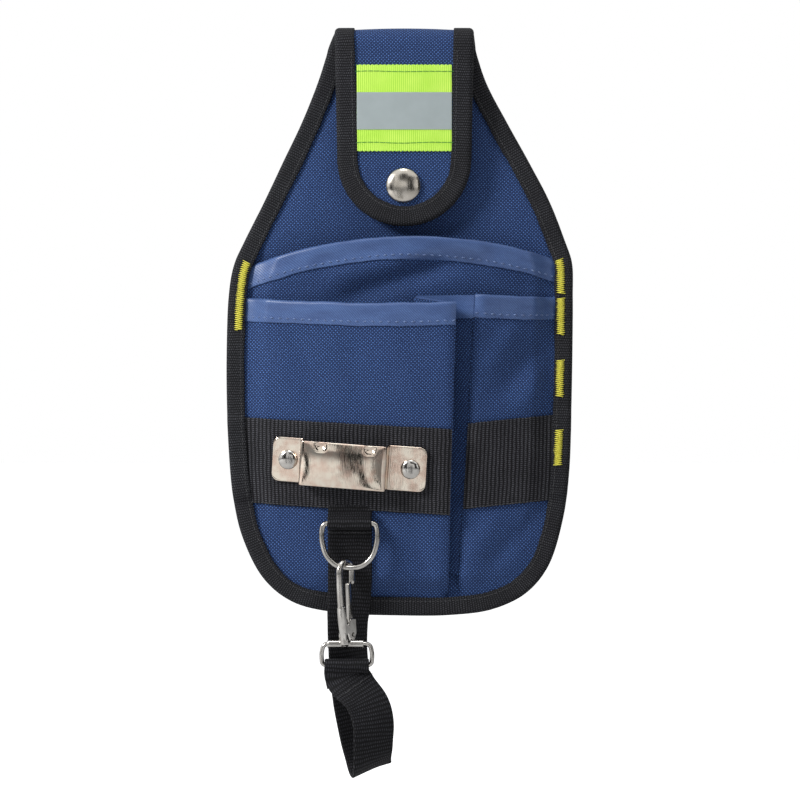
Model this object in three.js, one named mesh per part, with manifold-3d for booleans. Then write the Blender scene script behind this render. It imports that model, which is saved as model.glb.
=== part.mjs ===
// Electrician tool pouch that hangs on a belt: a padded back panel whose top folds over as a snap flap,
// a full-width back pocket, two pleated front pockets, a band with a steel tape clip, and a D-ring with
// a snap hook that closes a webbing loop for rolls of tape.
// Millimetres. +Z is up and the front faces -Y. The rear lining lies at y = 0, and z = 0 is the inside of
// the belt fold at the top.
import * as THREE from "three";
import { mergeVertices } from "three/addons/utils/BufferGeometryUtils.js";
import Module from "manifold-3d";

const wasm = await Module();
wasm.setup();

// Clearances and cutting
const clear = 0.3;
const layerGap = 0.05;
const cutOverrun = 2;

// Whole pouch
const pouchHeight = 257.7;
const pouchWidth = 154.5;
const hingeDrop = 6.3;

// Layers of the back panel
const liningThick = 1;
const foamThick = 2;
const fabricThick = 1;
const panelInset = 1.6;
const foamInset = 4;
const panelDepth = liningThick + foamThick + fabricThick;

// Binding tape folded round the edges
const bindingThick = 1;
const bindingLeg = 8.2;
const bindingClear = 0.3;
const wallShares = [0.25, 0.75];

// Pocket sheets
const sheetThick = 1;
const sheetInset = 2.2;
const seamRamp = 7;
const hemTall = 9;
const hemThick = 0.8;
const backMouthDepth = 13;
const backSwellPower = 2.2;
const leftMouthDepth = 16;
const leftStackDepth = 4.4;
const rightMouthDepth = 9;
const rightStackDepth = 2.6;
const frontSwellPower = 1.8;
const frontBulgeShare = 0.35;
const leftFoldX = 23.6;
const leftFoldFootX = 20.4;
const rightFoldX = 32;
const rightFoldFootX = 24.4;
const valleyX = 4;
const valleyFootX = 11.4;
const valleyWidth = 7;
const pleatFootRise = 10;
const cornerShare = 0.925;
const lowSearchShares = [0.3, 0.7];
const footReachShare = 0.2;
const nearStepShare = 0.01;

// Black band sewn across the front pockets
const bandTall = 38;
const bandThick = 1.5;

// Snap flap
const beltGap = 8.5;
const flapThick = 2.4;
const flapHalfTop = 31.2;
const flapHalfFoot = 29.7;
const flapCentreX = 1;
const flapLeanDeg = 1.8;
const flapBindingLeg = 8.9;
const liningShare = 0.4;
const hiVisHalf = 20.4;
const hiVisThick = 0.8;
const stripThick = 0.4;

// Snap fastener
const snapToBinding = 1.3;
const snapX = 0.6;
const capRadius = 7.8;
const capTall = 3.2;
const capRimTall = 0.5;
const socketRadius = 6;
const socketBore = 2.9;
const socketTall = 3.1;
const studRadius = 2.3;
const studBore = 1.2;
const studNeckLess = 0.3;
const studShoulderTall = 0.8;
const studTipLess = 0.5;
const studTopGap = 0.9;
const studBaseRadius = 6;
const snapPlate = 0.9;
const barrelRadius = 1.8;
const barrelReach = 0.6;
const rearCapRadius = 5.6;
const rearCapTall = 0.6;
const rearCapBevel = 0.4;

// Steel clip for a tape measure, with its rivets and washers
const clipWide = 68.4;
const clipTall = 19.8;
const clipThick = 1;
const clipLift = 0.5;
const clipStandOff = 7;
const clipCentreShare = -0.2951;
const clipBelowMiddle = 3.2;
const clipRollDeg = 3.4;
const clipBridgeLeftShare = 0.19;
const clipBridgeRightShare = 0.755;
const clipCorner = 3.2;
const rivetInsetShare = 0.1023;
const rivetHeadRadius = 4.3;
const rivetHeadTall = 1.7;
const rivetShankRadius = 1.5;
const washerRadius = 4;
const washerThick = 0.7;

// D-ring and the webbing tab that carries it
const strapWide = 19.4;
const strapThick = 1.3;
const ringX = -23;
const barBelowBand = 8.8;
const barDepth = 20.8;
const ringWire = 2.4;
const ringWide = 24.2;
const ringTall = 19.5;

// Snap hook: a round bow, a cast body with a crossbar, and a sprung gate
const hookWire = 2.9;
const bowWide = 9.4;
const hookX = -24.8;
const hookTurnDeg = 56;
const hookLong = 33.3;
const shankShare = 0.5225;
const tipLong = 7.5;
const bodyThick = 4;
const crossbarX = -24.9;
const crossbarRadius = 2.1;
const crossbarLong = 15.8;
const gateThick = 2;
const gateFootRadius = 1.9;
const gatePinRadius = 0.7;
const gatePivotAcross = 3.6;
const gatePivotRise = 3.8;
const gateTopDrop = 6.2;
const springThick = 0.35;
const springWide = 1.4;
const bowStartShare = 0.6;
const slotTopShare = 0.67;
const slotFrontShare = 1.26;

// The gate's leaf spring: places across from its foot and up from the pivot
const springPlaces = [[0, -0.76], [0, 1], [0.35, 4.4]];

// Eye wire threaded through the crossbar
const eyeWire = 2;
const eyeX = -24.2;
const eyeWide = 22;
const eyeTall = 9.4;

// Long webbing strap whose end is folded round the bar of the eye
const loopDrop = 107.4;
const foldClear = 0.6;
const foldTail = 9;
const strapTwistDeg = 28;
const strapTiltDeg = 17;

// Zigzag bar tacks
const tackWide = 3.2;
const tackThick = 0.5;
const leftTackInset = 3.6;
const rightTackInset = 4.2;
const leftTackShares = [0.3818, 0.5064];
const rightTackShares = [[0.3795, 0.4439], [0.4517, 0.5153], [0.5588, 0.6224], [0.6791, 0.7412]];

// Places down the pouch and what grows with it, as shares of the pouch height
const backHemLeftShare = 0.4075;
const backHemRightShare = 0.3943;
const backHemCrownShare = 0.0504;
const leftHemShare = 0.4532;
const leftFoldShare = 0.4657;
const leftHemSagShare = 0.0062;
const rightHemShare = 0.4517;
const rightHemSagShare = 0.0031;
const bandLeftShare = 0.6558;
const bandLeftFallShare = 0.0217;
const bandRightShare = 0.6659;
const bandRightRiseShare = 0.0171;
const flapTipShare = 0.3283;
const hiVisTopShare = 0.0528;
const hiVisTallShare = 0.1475;
const stripTallShare = 0.0636;

// The outer edge from the left end of the hinge line down round the bottom and up to the right end:
// shares of half the pouch width and of the height below the hinge line.
const leftEdgeShares = [
  [-0.43, 0], [-0.487, 0.0549], [-0.579, 0.1256], [-0.687, 0.1953], [-0.796, 0.2661], [-0.911, 0.3368],
  [-0.966, 0.3757], [-0.995, 0.4198], [-1.012, 0.5479], [-1.002, 0.6874], [-0.971, 0.795], [-0.916, 0.8647],
  [-0.796, 0.9354], [-0.634, 0.9754], [-0.388, 0.9944],
];
const rightEdgeShares = [
  [0, 1], [0.285, 0.999], [0.518, 0.9892], [0.712, 0.961], [0.841, 0.9139], [0.928, 0.8293], [0.962, 0.7509],
  [0.977, 0.631], [0.985, 0.4362], [0.98, 0.3737], [0.938, 0.3327], [0.853, 0.2661], [0.733, 0.1953],
  [0.607, 0.1256], [0.487, 0.0549], [0.427, 0],
];

// The free route of the long strap, from behind the bar down to the bottom turn and up to the fold at
// the eye: shares of the strap width to the side, of the bar depth, of the loop drop, and of the twist
// and the tilt that the bottom turn has.
const strapRouteShares = [
  [0, 0.795, 0.004, 0, 0],
  [0, 0.76, 0.06, 0, 0],
  [0, 0.7, 0.12, 0, 0],
  [0, 0.665, 0.18, 0, 0],
  [0, 0.625, 0.3, 0, 0],
  [0.01, 0.6, 0.44, 0.1, 0],
  [0.04, 0.565, 0.6, 0.3, 0.1],
  [0.085, 0.54, 0.745, 0.6, 0.4],
  [0.26, 0.56, 0.9, 0.9, 0.8],
  [0.4, 0.72, 0.975, 1, 1],
  [0.485, 1, 1, 1, 1],
  [0.52, 1.26, 0.965, 1, 1],
  [0.53, 1.4, 0.885, 1, 0.9],
  [0.5, 1.4, 0.79, 0.8, 0.6],
  [0.34, 1.28, 0.72, 0.5, 0.3],
  [0.06, 1.12, 0.655, 0.2, 0.1],
];

// The D shape of the ring from the middle of its bar: shares of the ring's half width and of its height.
const ringShares = [
  [0, 0], [0.3, 0], [0.6, 0], [0.82, 0], [0.95, 0.04], [1, 0.16], [0.99, 0.42], [0.83, 0.73],
  [0.48, 0.94], [0, 1],
];

// The eye wire from the middle of the crossbar: shares of its half width and of its height.
const eyeShares = [
  [0, 0], [0.4, 0], [0.78, 0], [0.93, 0.1], [1, 0.4], [1, 0.72], [0.97, 0.91], [0.85, 0.99], [0.6, 1], [0, 1],
];

// The cast body of the hook, from the socket of its shank round the fork to the crossbar: shares of
// half the bow's width and of the hook's length.
const hookBodyShares = [
  [-1.4, 0.475], [-0.6, 0.475], [-0.6, 0.62], [0, 0.76], [0.3, 0.67], [1.15, 0.67], [1.26, 0.87],
  [0.9, 0.965], [0.35, 1.02], [-0.35, 1.02], [-0.98, 0.94], [-1.34, 0.73],
];

// Counts that set how fine the faces are
const edgeSteps = 64;
const backAcross = 12;
const leftAcross = 9;
const rightAcross = 5;
const sheetUp = 9;
const pleatUp = 8;
const bandUp = 2;
const foldSteps = 7;
const tipSteps = 8;
const tapeSteps = 3;
const roundSteps = 16;
const domeSteps = 4;
const cornerSteps = 5;
const ringSteps = 32;
const eyeSteps = 36;
const bowSteps = 22;
const tabSteps = 8;
const strapFoldSteps = 6;
const strapFine = 2;
const tackSteps = 2;
const searchSteps = 30;
const wireSides = 8;

// Worked out from the driving sizes
const halfWidth = pouchWidth / 2;
const backSheetDepth = panelDepth + clear;
const frontSheetDepth = backSheetDepth + sheetThick + clear;
const seamStart = bindingLeg + 5 * clear;
const lowLegDepth = frontSheetDepth + sheetThick + clear;
const highLegDepth = panelDepth + clear;
const backHemLeftDrop = backHemLeftShare * pouchHeight;
const backHemRightDrop = backHemRightShare * pouchHeight;
const backHemCrown = backHemCrownShare * pouchHeight;
const leftHemDrop = leftHemShare * pouchHeight;
const leftFoldDrop = leftFoldShare * pouchHeight;
const rightHemDrop = rightHemShare * pouchHeight;
const bandLeftDrop = bandLeftShare * pouchHeight;
const clipCentreDrop = bandLeftDrop + bandTall / 2 + clipBelowMiddle;
const barZ = -(bandLeftDrop + bandTall + barBelowBand);
const flapTipDrop = flapTipShare * pouchHeight;
const snapDrop = flapTipDrop - flapBindingLeg - snapToBinding - capRadius;
const shankLong = shankShare * hookLong;

const part = new THREE.Group();

const finishes = {
  navyFabric: { color: 0x22335f, roughness: 0.9, metalness: 0 },
  hemTape: { color: 0x34497a, roughness: 0.55, metalness: 0 },
  blackWebbing: { color: 0x141416, roughness: 0.95, metalness: 0 },
  hiVis: { color: 0xb6f21c, roughness: 0.8, metalness: 0 },
  reflective: { color: 0x8b8f92, roughness: 0.35, metalness: 0.1 },
  thread: { color: 0xd8c41f, roughness: 0.7, metalness: 0 },
  foam: { color: 0x2b2b2e, roughness: 1, metalness: 0 },
  steel: { color: 0xb9b6b0, roughness: 0.22, metalness: 1 },
};

function addMesh(name, geometry, finish, parent = part) {
  const mesh = new THREE.Mesh(geometry, new THREE.MeshStandardMaterial(finishes[finish]));
  mesh.name = name;
  parent.add(mesh);
  return mesh;
}

function mix(a, b, share) {
  return a + (b - a) * share;
}

function smooth(value, low, high) {
  const share = Math.min(1, Math.max(0, (value - low) / (high - low)));
  return share * share * (3 - 2 * share);
}

function evenly(count, from = 0, to = 1) {
  return Array.from({ length: count + 1 }, (_, i) => mix(from, to, i / count));
}

// Closed bodies from grids of points

function closedGeometry(points, triangles) {
  let volume = 0;
  const cross = new THREE.Vector3();
  for (const [a, b, c] of triangles) {
    volume += points[a].dot(cross.crossVectors(points[b], points[c]));
  }
  const index = triangles.flatMap(([a, b, c]) => (volume < 0 ? [a, c, b] : [a, b, c]));
  const geometry = new THREE.BufferGeometry();
  geometry.setAttribute(
    "position",
    new THREE.Float32BufferAttribute(points.flatMap((p) => [p.x, p.y, p.z]), 3),
  );
  geometry.setIndex(index);
  return geometry;
}

// A sheet between two grids of points, rows by columns: two faces and the wall round their edge.
function sheetGeometry(front, back) {
  const rows = front.length;
  const columns = front[0].length;
  const points = [...front.flat(), ...back.flat()];
  const at = (row, column) => row * columns + column;
  const behind = (row, column) => rows * columns + at(row, column);
  const triangles = [];
  const quad = (a, b, c, d) => triangles.push([a, b, c], [a, c, d]);
  for (let row = 0; row + 1 < rows; row++) {
    for (let column = 0; column + 1 < columns; column++) {
      quad(at(row, column), at(row, column + 1), at(row + 1, column + 1), at(row + 1, column));
      quad(
        behind(row, column), behind(row + 1, column), behind(row + 1, column + 1), behind(row, column + 1),
      );
    }
    quad(at(row, 0), at(row + 1, 0), behind(row + 1, 0), behind(row, 0));
    const last = columns - 1;
    quad(at(row + 1, last), at(row, last), behind(row, last), behind(row + 1, last));
  }
  for (let column = 0; column + 1 < columns; column++) {
    const last = rows - 1;
    quad(at(0, column + 1), at(0, column), behind(0, column), behind(0, column + 1));
    quad(at(last, column), at(last, column + 1), behind(last, column + 1), behind(last, column));
  }
  return closedGeometry(points, triangles);
}

// A round wire along a curve: an open one has flat ends, a closed one has none.
function wireGeometry(curve, diameter, steps, closed) {
  const frames = curve.computeFrenetFrames(steps, closed);
  const rings = closed ? steps : steps + 1;
  const points = [];
  for (let ring = 0; ring < rings; ring++) {
    const centre = curve.getPointAt(ring / steps);
    for (let side = 0; side < wireSides; side++) {
      const turn = (2 * Math.PI * side) / wireSides;
      points.push(
        centre.clone()
          .addScaledVector(frames.normals[ring], (Math.cos(turn) * diameter) / 2)
          .addScaledVector(frames.binormals[ring], (Math.sin(turn) * diameter) / 2),
      );
    }
  }
  const triangles = [];
  for (let ring = 0; ring < steps; ring++) {
    for (let side = 0; side < wireSides; side++) {
      const next = (side + 1) % wireSides;
      const a = ring * wireSides;
      const b = ((ring + 1) % rings) * wireSides;
      triangles.push([a + side, a + next, b + next], [a + side, b + next, b + side]);
    }
  }
  if (!closed) {
    for (let side = 1; side + 1 < wireSides; side++) {
      const end = steps * wireSides;
      triangles.push([0, side + 1, side], [end, end + side, end + side + 1]);
    }
  }
  return closedGeometry(points, triangles);
}

// A turned piece about the Y axis, its profile given as pairs of radius and depth towards the viewer.
function turnedGeometry(profile) {
  const outline = profile.map(([radius, depth]) => new THREE.Vector2(radius, depth));
  return closedFrom(new THREE.LatheGeometry(outline, roundSteps).rotateX(Math.PI));
}

// Half of a dome's outline from its rim to its top, as pairs of radius and depth.
function domeProfile(radius, depthFrom, depthTo) {
  return evenly(domeSteps, 0, Math.PI / 2).map((turn, i) => [
    i === domeSteps ? 0 : radius * Math.cos(turn), mix(depthFrom, depthTo, Math.sin(turn)),
  ]);
}

// A flat outline in X and Z, its Z turned over, extruded from one depth to a greater one.
function plateGeometry(shape, depthFrom, depthTo) {
  const plate = new THREE.ExtrudeGeometry(
    shape, { depth: depthTo - depthFrom, bevelEnabled: false, curveSegments: cornerSteps });
  return plate.rotateX(Math.PI / 2).translate(0, -depthFrom, 0);
}

// The same surface with its shared points merged and its faces turned out.
function closedFrom(geometry) {
  const bare = geometry.clone();
  bare.deleteAttribute("normal");
  bare.deleteAttribute("uv");
  const merged = mergeVertices(bare);
  const position = merged.getAttribute("position");
  const points = [];
  for (let i = 0; i < position.count; i++) {
    points.push(new THREE.Vector3().fromBufferAttribute(position, i));
  }
  const triangles = [];
  const index = merged.getIndex().array;
  for (let i = 0; i < index.length; i += 3) {
    const [a, b, c] = [index[i], index[i + 1], index[i + 2]];
    if (a !== b && b !== c && a !== c) triangles.push([a, b, c]);
  }
  return closedGeometry(points, triangles);
}

function solidOf(geometry) {
  const merged = closedFrom(geometry);
  return new wasm.Manifold(
    new wasm.Mesh({
      numProp: 3,
      vertProperties: merged.getAttribute("position").array,
      triVerts: new Uint32Array(merged.getIndex().array),
    }),
  );
}

function geometryOf(solid) {
  const mesh = solid.getMesh();
  const geometry = new THREE.BufferGeometry();
  geometry.setAttribute("position", new THREE.BufferAttribute(mesh.vertProperties, 3));
  geometry.setIndex(new THREE.BufferAttribute(mesh.triVerts, 1));
  return geometry;
}

function cutFrom(geometry, cutters) {
  let solid = solidOf(geometry);
  for (const cutter of cutters) solid = solid.subtract(solidOf(cutter));
  return geometryOf(solid);
}

function joined(geometries) {
  let solid = solidOf(geometries[0]);
  for (const geometry of geometries.slice(1)) solid = solid.add(solidOf(geometry));
  return geometryOf(solid);
}

// A round bar along Y, between two depths, about a point in X and Z.
function barAlongY(radius, depthFrom, depthTo, x, z) {
  const bar = new THREE.CylinderGeometry(radius, radius, depthTo - depthFrom, roundSteps);
  return bar.translate(x, -(depthFrom + depthTo) / 2, z);
}

// The pouch outline

const edgeCurve = new THREE.CatmullRomCurve3(
  [...leftEdgeShares, ...rightEdgeShares].map(
    ([across, down]) => new THREE.Vector3(across * halfWidth, 0, -mix(hingeDrop, pouchHeight, down)),
  ),
  false,
  "centripetal",
);
edgeCurve.arcLengthDivisions = 400;

// A point of the edge at a share of its length, moved inwards by the inset.
function edgePoint(share, inset) {
  const point = edgeCurve.getPointAt(share);
  const along = edgeCurve.getTangentAt(share);
  return new THREE.Vector3(point.x - along.z * inset, 0, point.z + along.x * inset);
}

// The share of the edge length, between two shares, where the test value crosses zero.
function edgeCrossing(low, high, test) {
  const rising = test(edgeCurve.getPointAt(high)) > 0;
  let [a, b] = [low, high];
  for (let i = 0; i < searchSteps; i++) {
    const middle = (a + b) / 2;
    if (test(edgeCurve.getPointAt(middle)) > 0 === rising) b = middle;
    else a = middle;
  }
  return (a + b) / 2;
}

const edgeLine = Array.from({ length: 3 * edgeSteps + 1 }, (_, i) => edgePoint(i / (3 * edgeSteps), 0));

function distanceToEdge(x, z) {
  let least = Infinity;
  for (let i = 0; i + 1 < edgeLine.length; i++) {
    const [a, b] = [edgeLine[i], edgeLine[i + 1]];
    const [dx, dz] = [b.x - a.x, b.z - a.z];
    const along = Math.min(1, Math.max(0, ((x - a.x) * dx + (z - a.z) * dz) / (dx * dx + dz * dz)));
    least = Math.min(least, Math.hypot(x - a.x - along * dx, z - a.z - along * dz));
  }
  return least;
}

// Nothing lifts off the seam within the binding, and the sheets rise evenly from there.
function seamShare(x, z) {
  return Math.min(1, Math.max(0, (distanceToEdge(x, z) - seamStart) / seamRamp));
}

const middleShare = edgeCrossing(...lowSearchShares, (p) => p.x);
const leftAt = (drop) => edgeCrossing(0, middleShare, (p) => -p.z - drop);
const rightAt = (drop) => edgeCrossing(middleShare, 1, (p) => p.z + drop);
const bottomAt = (x) => edgeCrossing(
  mix(middleShare, 0, footReachShare), mix(middleShare, 1, footReachShare), (p) => p.x - x);
const cornerDrop = cornerShare * pouchHeight;
const leftCorner = edgeCrossing(0, middleShare, (p) => -p.z - cornerDrop);
const rightCorner = edgeCrossing(middleShare, 1, (p) => p.z + cornerDrop);

// A patch between four edge curves: u runs from left to right and v from bottom to top.
function patch(leftSide, rightSide, bottom, top) {
  return (u, v) => {
    const p = new THREE.Vector3();
    p.addScaledVector(bottom(u), 1 - v).addScaledVector(top(u), v);
    p.addScaledVector(leftSide(v), 1 - u).addScaledVector(rightSide(v), u);
    p.addScaledVector(bottom(0), -(1 - u) * (1 - v)).addScaledVector(bottom(1), -u * (1 - v));
    p.addScaledVector(top(0), -(1 - u) * v).addScaledVector(top(1), -u * v);
    return p;
  };
}

function edgeRun(from, to, inset) {
  return (share) => edgePoint(mix(from, to, share), inset);
}

// A line with a low crown, or a sag where the crown is below zero.
function crownedLine(a, b, crown) {
  return (share) => a.clone().lerp(b, share).add(new THREE.Vector3(0, 0, crown * 4 * share * (1 - share)));
}

const flat = (x, z) => new THREE.Vector3(x, 0, z);

// Back pocket: it lies flat low down and swells towards its mouth.
const backHemLeft = leftAt(backHemLeftDrop);
const backHemRight = rightAt(backHemRightDrop);
const backPatch = patch(
  edgeRun(leftCorner, backHemLeft, sheetInset),
  edgeRun(rightCorner, backHemRight, sheetInset),
  edgeRun(leftCorner, rightCorner, sheetInset),
  crownedLine(edgePoint(backHemLeft, sheetInset), edgePoint(backHemRight, sheetInset), backHemCrown),
);
const backMouthZ = -(backHemLeftDrop + backHemRightDrop) / 2 + backHemCrown;

function backSwell(x, z) {
  const across = Math.max(0, 1 - (x / halfWidth) ** 2);
  const height = Math.min(1, Math.max(0, (z + pouchHeight) / (backMouthZ + pouchHeight)));
  return backMouthDepth * across * height ** backSwellPower * seamShare(x, z);
}

// Front pockets: each sheet swells from its outer seam to the fold beside the pleat.
function frontSwell(across, height, stackDepth, mouthDepth) {
  const bulge = across * (1 + frontBulgeShare * (1 - across));
  const rise = 1 - (1 - height) ** frontSwellPower;
  return bulge * (stackDepth + (mouthDepth - stackDepth) * rise);
}

const leftHemEdge = leftAt(leftHemDrop);
const leftFootEdge = bottomAt(leftFoldFootX);
const leftFoldTop = flat(leftFoldX, -leftFoldDrop);
const leftPatch = patch(
  edgeRun(leftCorner, leftHemEdge, sheetInset),
  crownedLine(edgePoint(leftFootEdge, sheetInset), leftFoldTop, 0),
  edgeRun(leftCorner, leftFootEdge, sheetInset),
  crownedLine(edgePoint(leftHemEdge, sheetInset), leftFoldTop, -leftHemSagShare * pouchHeight),
);

const rightHemEdge = rightAt(rightHemDrop);
const rightFootEdge = bottomAt(rightFoldFootX);
const rightFoldTop = flat(rightFoldX, -rightHemDrop);
const rightPatch = patch(
  crownedLine(edgePoint(rightFootEdge, sheetInset), rightFoldTop, 0),
  edgeRun(rightCorner, rightHemEdge, sheetInset),
  edgeRun(rightFootEdge, rightCorner, sheetInset),
  crownedLine(rightFoldTop, edgePoint(rightHemEdge, sheetInset), -rightHemSagShare * pouchHeight),
);

// Depth of the rear face of a pocket sheet at a place of its patch.
function backSheetAt(u, v) {
  const p = backPatch(u, v);
  return [p, backSheetDepth + backSwell(p.x, p.z)];
}

function leftSheetAt(u, v) {
  const p = leftPatch(u, v);
  const own = frontSwell(u, v, leftStackDepth, leftMouthDepth) * seamShare(p.x, p.z);
  return [p, frontSheetDepth + backSwell(p.x, p.z) + own];
}

function rightSheetAt(u, v) {
  const p = rightPatch(u, v);
  const own = frontSwell(1 - u, v, rightStackDepth, rightMouthDepth) * seamShare(p.x, p.z);
  return [p, frontSheetDepth + backSwell(p.x, p.z) + own];
}

function seatedPoint([p, depth], proud) {
  return new THREE.Vector3(p.x, -(depth + proud), p.z);
}

// Stations over a length: one at the binding's edge and one past the ramp at each seam that is named,
// one at the hem's lower edge, and even ones between.
function stations(length, count, { lowSeam = false, highSeam = false, hem = false }) {
  const covered = (seamStart - sheetInset) / length;
  const lifted = covered + seamRamp / length;
  const low = lowSeam ? [0, covered, lifted] : [0];
  const high = highSeam ? [1 - lifted, 1 - covered, 1] : [1];
  if (hem) high.unshift(1 - hemTall / length);
  return [...low, ...evenly(count, low.at(-1), high[0]).slice(1, -1), ...high];
}

// A pocket sheet with the stations that its hem and its band share.
function pocketSheet(surface, acrossCount, seams) {
  const width = surface(1, 1)[0].distanceTo(surface(0, 1)[0]);
  const height = surface(0.5, 1)[0].distanceTo(surface(0.5, 0)[0]);
  const columns = stations(width, acrossCount, seams);
  const rows = stations(height, sheetUp, { lowSeam: true, hem: true });
  return { surface, columns, rows };
}

const backSheet = pocketSheet(backSheetAt, backAcross, { lowSeam: true, highSeam: true });
const leftSheet = pocketSheet(leftSheetAt, leftAcross, { lowSeam: true });
const rightSheet = pocketSheet(rightSheetAt, rightAcross, { highSeam: true });

// A sheet on a pocket's surface between two heights over it.
function layerGeometry({ surface, columns, rows }, from, to) {
  const grid = (proud) => rows.map((v) => columns.map((u) => seatedPoint(surface(u, v), proud)));
  return sheetGeometry(grid(to), grid(from));
}

// The hem tape: a leg in front of the sheet and a fold over its top edge.
function hemGeometry({ surface, columns, rows }) {
  const outer = [];
  const inner = [];
  const face = sheetThick + clear;
  const lip = clear + hemThick;
  for (const u of columns) {
    const below = surface(u, rows.at(-2));
    const top = surface(u, 1);
    const over = (proud, rise) => seatedPoint(top, proud).add(new THREE.Vector3(0, 0, rise));
    outer.push([seatedPoint(below, face + hemThick), over(face + hemThick, lip), over(0, lip)]);
    inner.push([seatedPoint(below, face), over(face, clear), over(0, clear)]);
  }
  return sheetGeometry(outer, inner);
}

// Only what lies inside the binding is kept.
function trimToBinding(geometry) {
  const depth = lowLegDepth + leftMouthDepth + backMouthDepth + cutOverrun;
  const inside = panelPlate(bindingLeg + clear, -cutOverrun, depth);
  return geometryOf(solidOf(geometry).intersect(solidOf(inside)));
}

function makePockets() {
  const holes = rivetPlaces.map((place) => rivetHole(place));
  const sheet = (layers) => layerGeometry(layers, 0, sheetThick);
  addMesh("back_pocket", sheet(backSheet), "navyFabric");
  addMesh("back_pocket_hem", trimToBinding(hemGeometry(backSheet)), "hemTape");
  addMesh("left_pocket", cutFrom(sheet(leftSheet), holes), "navyFabric");
  addMesh("left_pocket_hem", trimToBinding(hemGeometry(leftSheet)), "hemTape");
  addMesh("right_pocket", sheet(rightSheet), "navyFabric");
  addMesh("right_pocket_hem", trimToBinding(hemGeometry(rightSheet)), "hemTape");
}

// Pleat between the front pockets: a wall back from the left fold, a strip on the back pocket, and a
// wall forward to the right fold.
function pleatLine(v) {
  const half = sheetThick / 2;
  const foot = -pouchHeight + bindingLeg + clear + pleatFootRise;
  const tops = [-leftFoldDrop, -rightHemDrop, -rightHemDrop, -rightHemDrop];
  const heights = tops.map((top) => mix(foot, top, v));
  const share = (z, top) => (z + pouchHeight - sheetInset) / (top + pouchHeight - sheetInset);
  const [leftFold, leftDepth] = leftSheetAt(1, share(heights[0], -leftFoldDrop));
  const [rightFold, rightDepth] = rightSheetAt(0, share(heights[3], -rightHemDrop));
  const valley = mix(valleyFootX, valleyX, v);
  const base = (x, z) => frontSheetDepth + backSwell(x, z) + half;
  return [
    [leftFold.x - half, leftDepth - clear - half, heights[0]],
    [valley, base(valley, heights[1]), heights[1]],
    [valley + valleyWidth, base(valley + valleyWidth, heights[2]), heights[2]],
    [rightFold.x + half, rightDepth - clear - half, heights[3]],
  ];
}

// The line moved sideways in X and depth, its corners mitred.
function offsetLine(line, distance) {
  const normals = [];
  for (let i = 0; i + 1 < line.length; i++) {
    const [dx, dd] = [line[i + 1][0] - line[i][0], line[i + 1][1] - line[i][1]];
    const length = Math.hypot(dx, dd);
    normals.push([-dd / length, dx / length]);
  }
  return line.map(([x, depth, z], i) => {
    const before = normals[Math.max(0, i - 1)];
    const after = normals[Math.min(normals.length - 1, i)];
    const scale = distance / (1 + before[0] * after[0] + before[1] * after[1]);
    const [across, inwards] = [before[0] + after[0], before[1] + after[1]];
    return new THREE.Vector3(x + across * scale, -(depth + inwards * scale), z);
  });
}

// The line with both ends drawn back along themselves.
function pulledIn(line, by) {
  const drawn = (end, next) => {
    const share = by / Math.hypot(next[0] - end[0], next[1] - end[1]);
    return end.map((value, i) => mix(value, next[i], share));
  };
  return [drawn(line[0], line[1]), ...line.slice(1, -1), drawn(line.at(-1), line.at(-2))];
}

function makePleat() {
  const half = sheetThick / 2;
  const between = (rows, near, far) => sheetGeometry(
    rows.map((row) => offsetLine(row, far)), rows.map((row) => offsetLine(row, near)));
  const rows = evenly(pleatUp).map((v) => pleatLine(v));
  addMesh("pocket_pleat", between(rows, -half, half), "navyFabric");
  const tall = pleatLine(1)[0][2] - pleatLine(0)[0][2];
  const face = half + clear;
  const hemRows = [1 - hemTall / tall, 1].map((v) => pulledIn(pleatLine(v), face + hemThick));
  addMesh("pleat_hem", between(hemRows, face, face + hemThick), "hemTape");
}

// Band: webbing over each front pocket, from its outer seam to its fold.
function bandGeometry({ surface, columns }, topDrop) {
  const shareAt = (u, z) => {
    let [low, high] = [0, 1];
    for (let i = 0; i < searchSteps; i++) {
      const middle = (low + high) / 2;
      if (surface(u, middle)[0].z < z) low = middle;
      else high = middle;
    }
    return low;
  };
  const places = columns.map((u) => {
    const top = -topDrop(surface(u, 0.5)[0].x);
    return evenly(bandUp, top - bandTall, top).map((z) => surface(u, shareAt(u, z)));
  });
  const grid = (proud) => places.map((column) => column.map((place) => seatedPoint(place, proud)));
  const face = sheetThick + clear;
  return trimToBinding(sheetGeometry(grid(face + bandThick), grid(face)));
}

function leftBandDrop(x) {
  return bandLeftDrop + bandLeftFallShare * pouchHeight * ((x + halfWidth) / (leftFoldX + halfWidth));
}

function rightBandDrop(x) {
  const across = (x - rightFoldX) / (halfWidth - rightFoldX);
  return (bandRightShare - bandRightRiseShare * across) * pouchHeight;
}

function makeBand() {
  const holes = rivetPlaces.map((place) => rivetHole(place));
  addMesh("band_left", cutFrom(bandGeometry(leftSheet, leftBandDrop), holes), "blackWebbing");
  addMesh("band_right", bandGeometry(rightSheet, rightBandDrop), "blackWebbing");
}

// The clip's frame: its long way lies along the chord between the rivets, its face along the band.
function leftSurfaceNear(x, z) {
  const [, depth] = leftSheetNear(x, z);
  return new THREE.Vector3(x, -(depth + sheetThick), z);
}

function leftSheetNear(x, z) {
  let [u, v] = [0.5, 0.5];
  for (let i = 0; i < searchSteps; i++) {
    const [p] = leftSheetAt(u, v);
    const [across] = leftSheetAt(u + nearStepShare, v);
    const [upwards] = leftSheetAt(u, v + nearStepShare);
    u += ((x - p.x) / (across.x - p.x)) * nearStepShare;
    v += ((z - p.z) / (upwards.z - p.z)) * nearStepShare;
  }
  return leftSheetAt(u, v);
}

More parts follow.
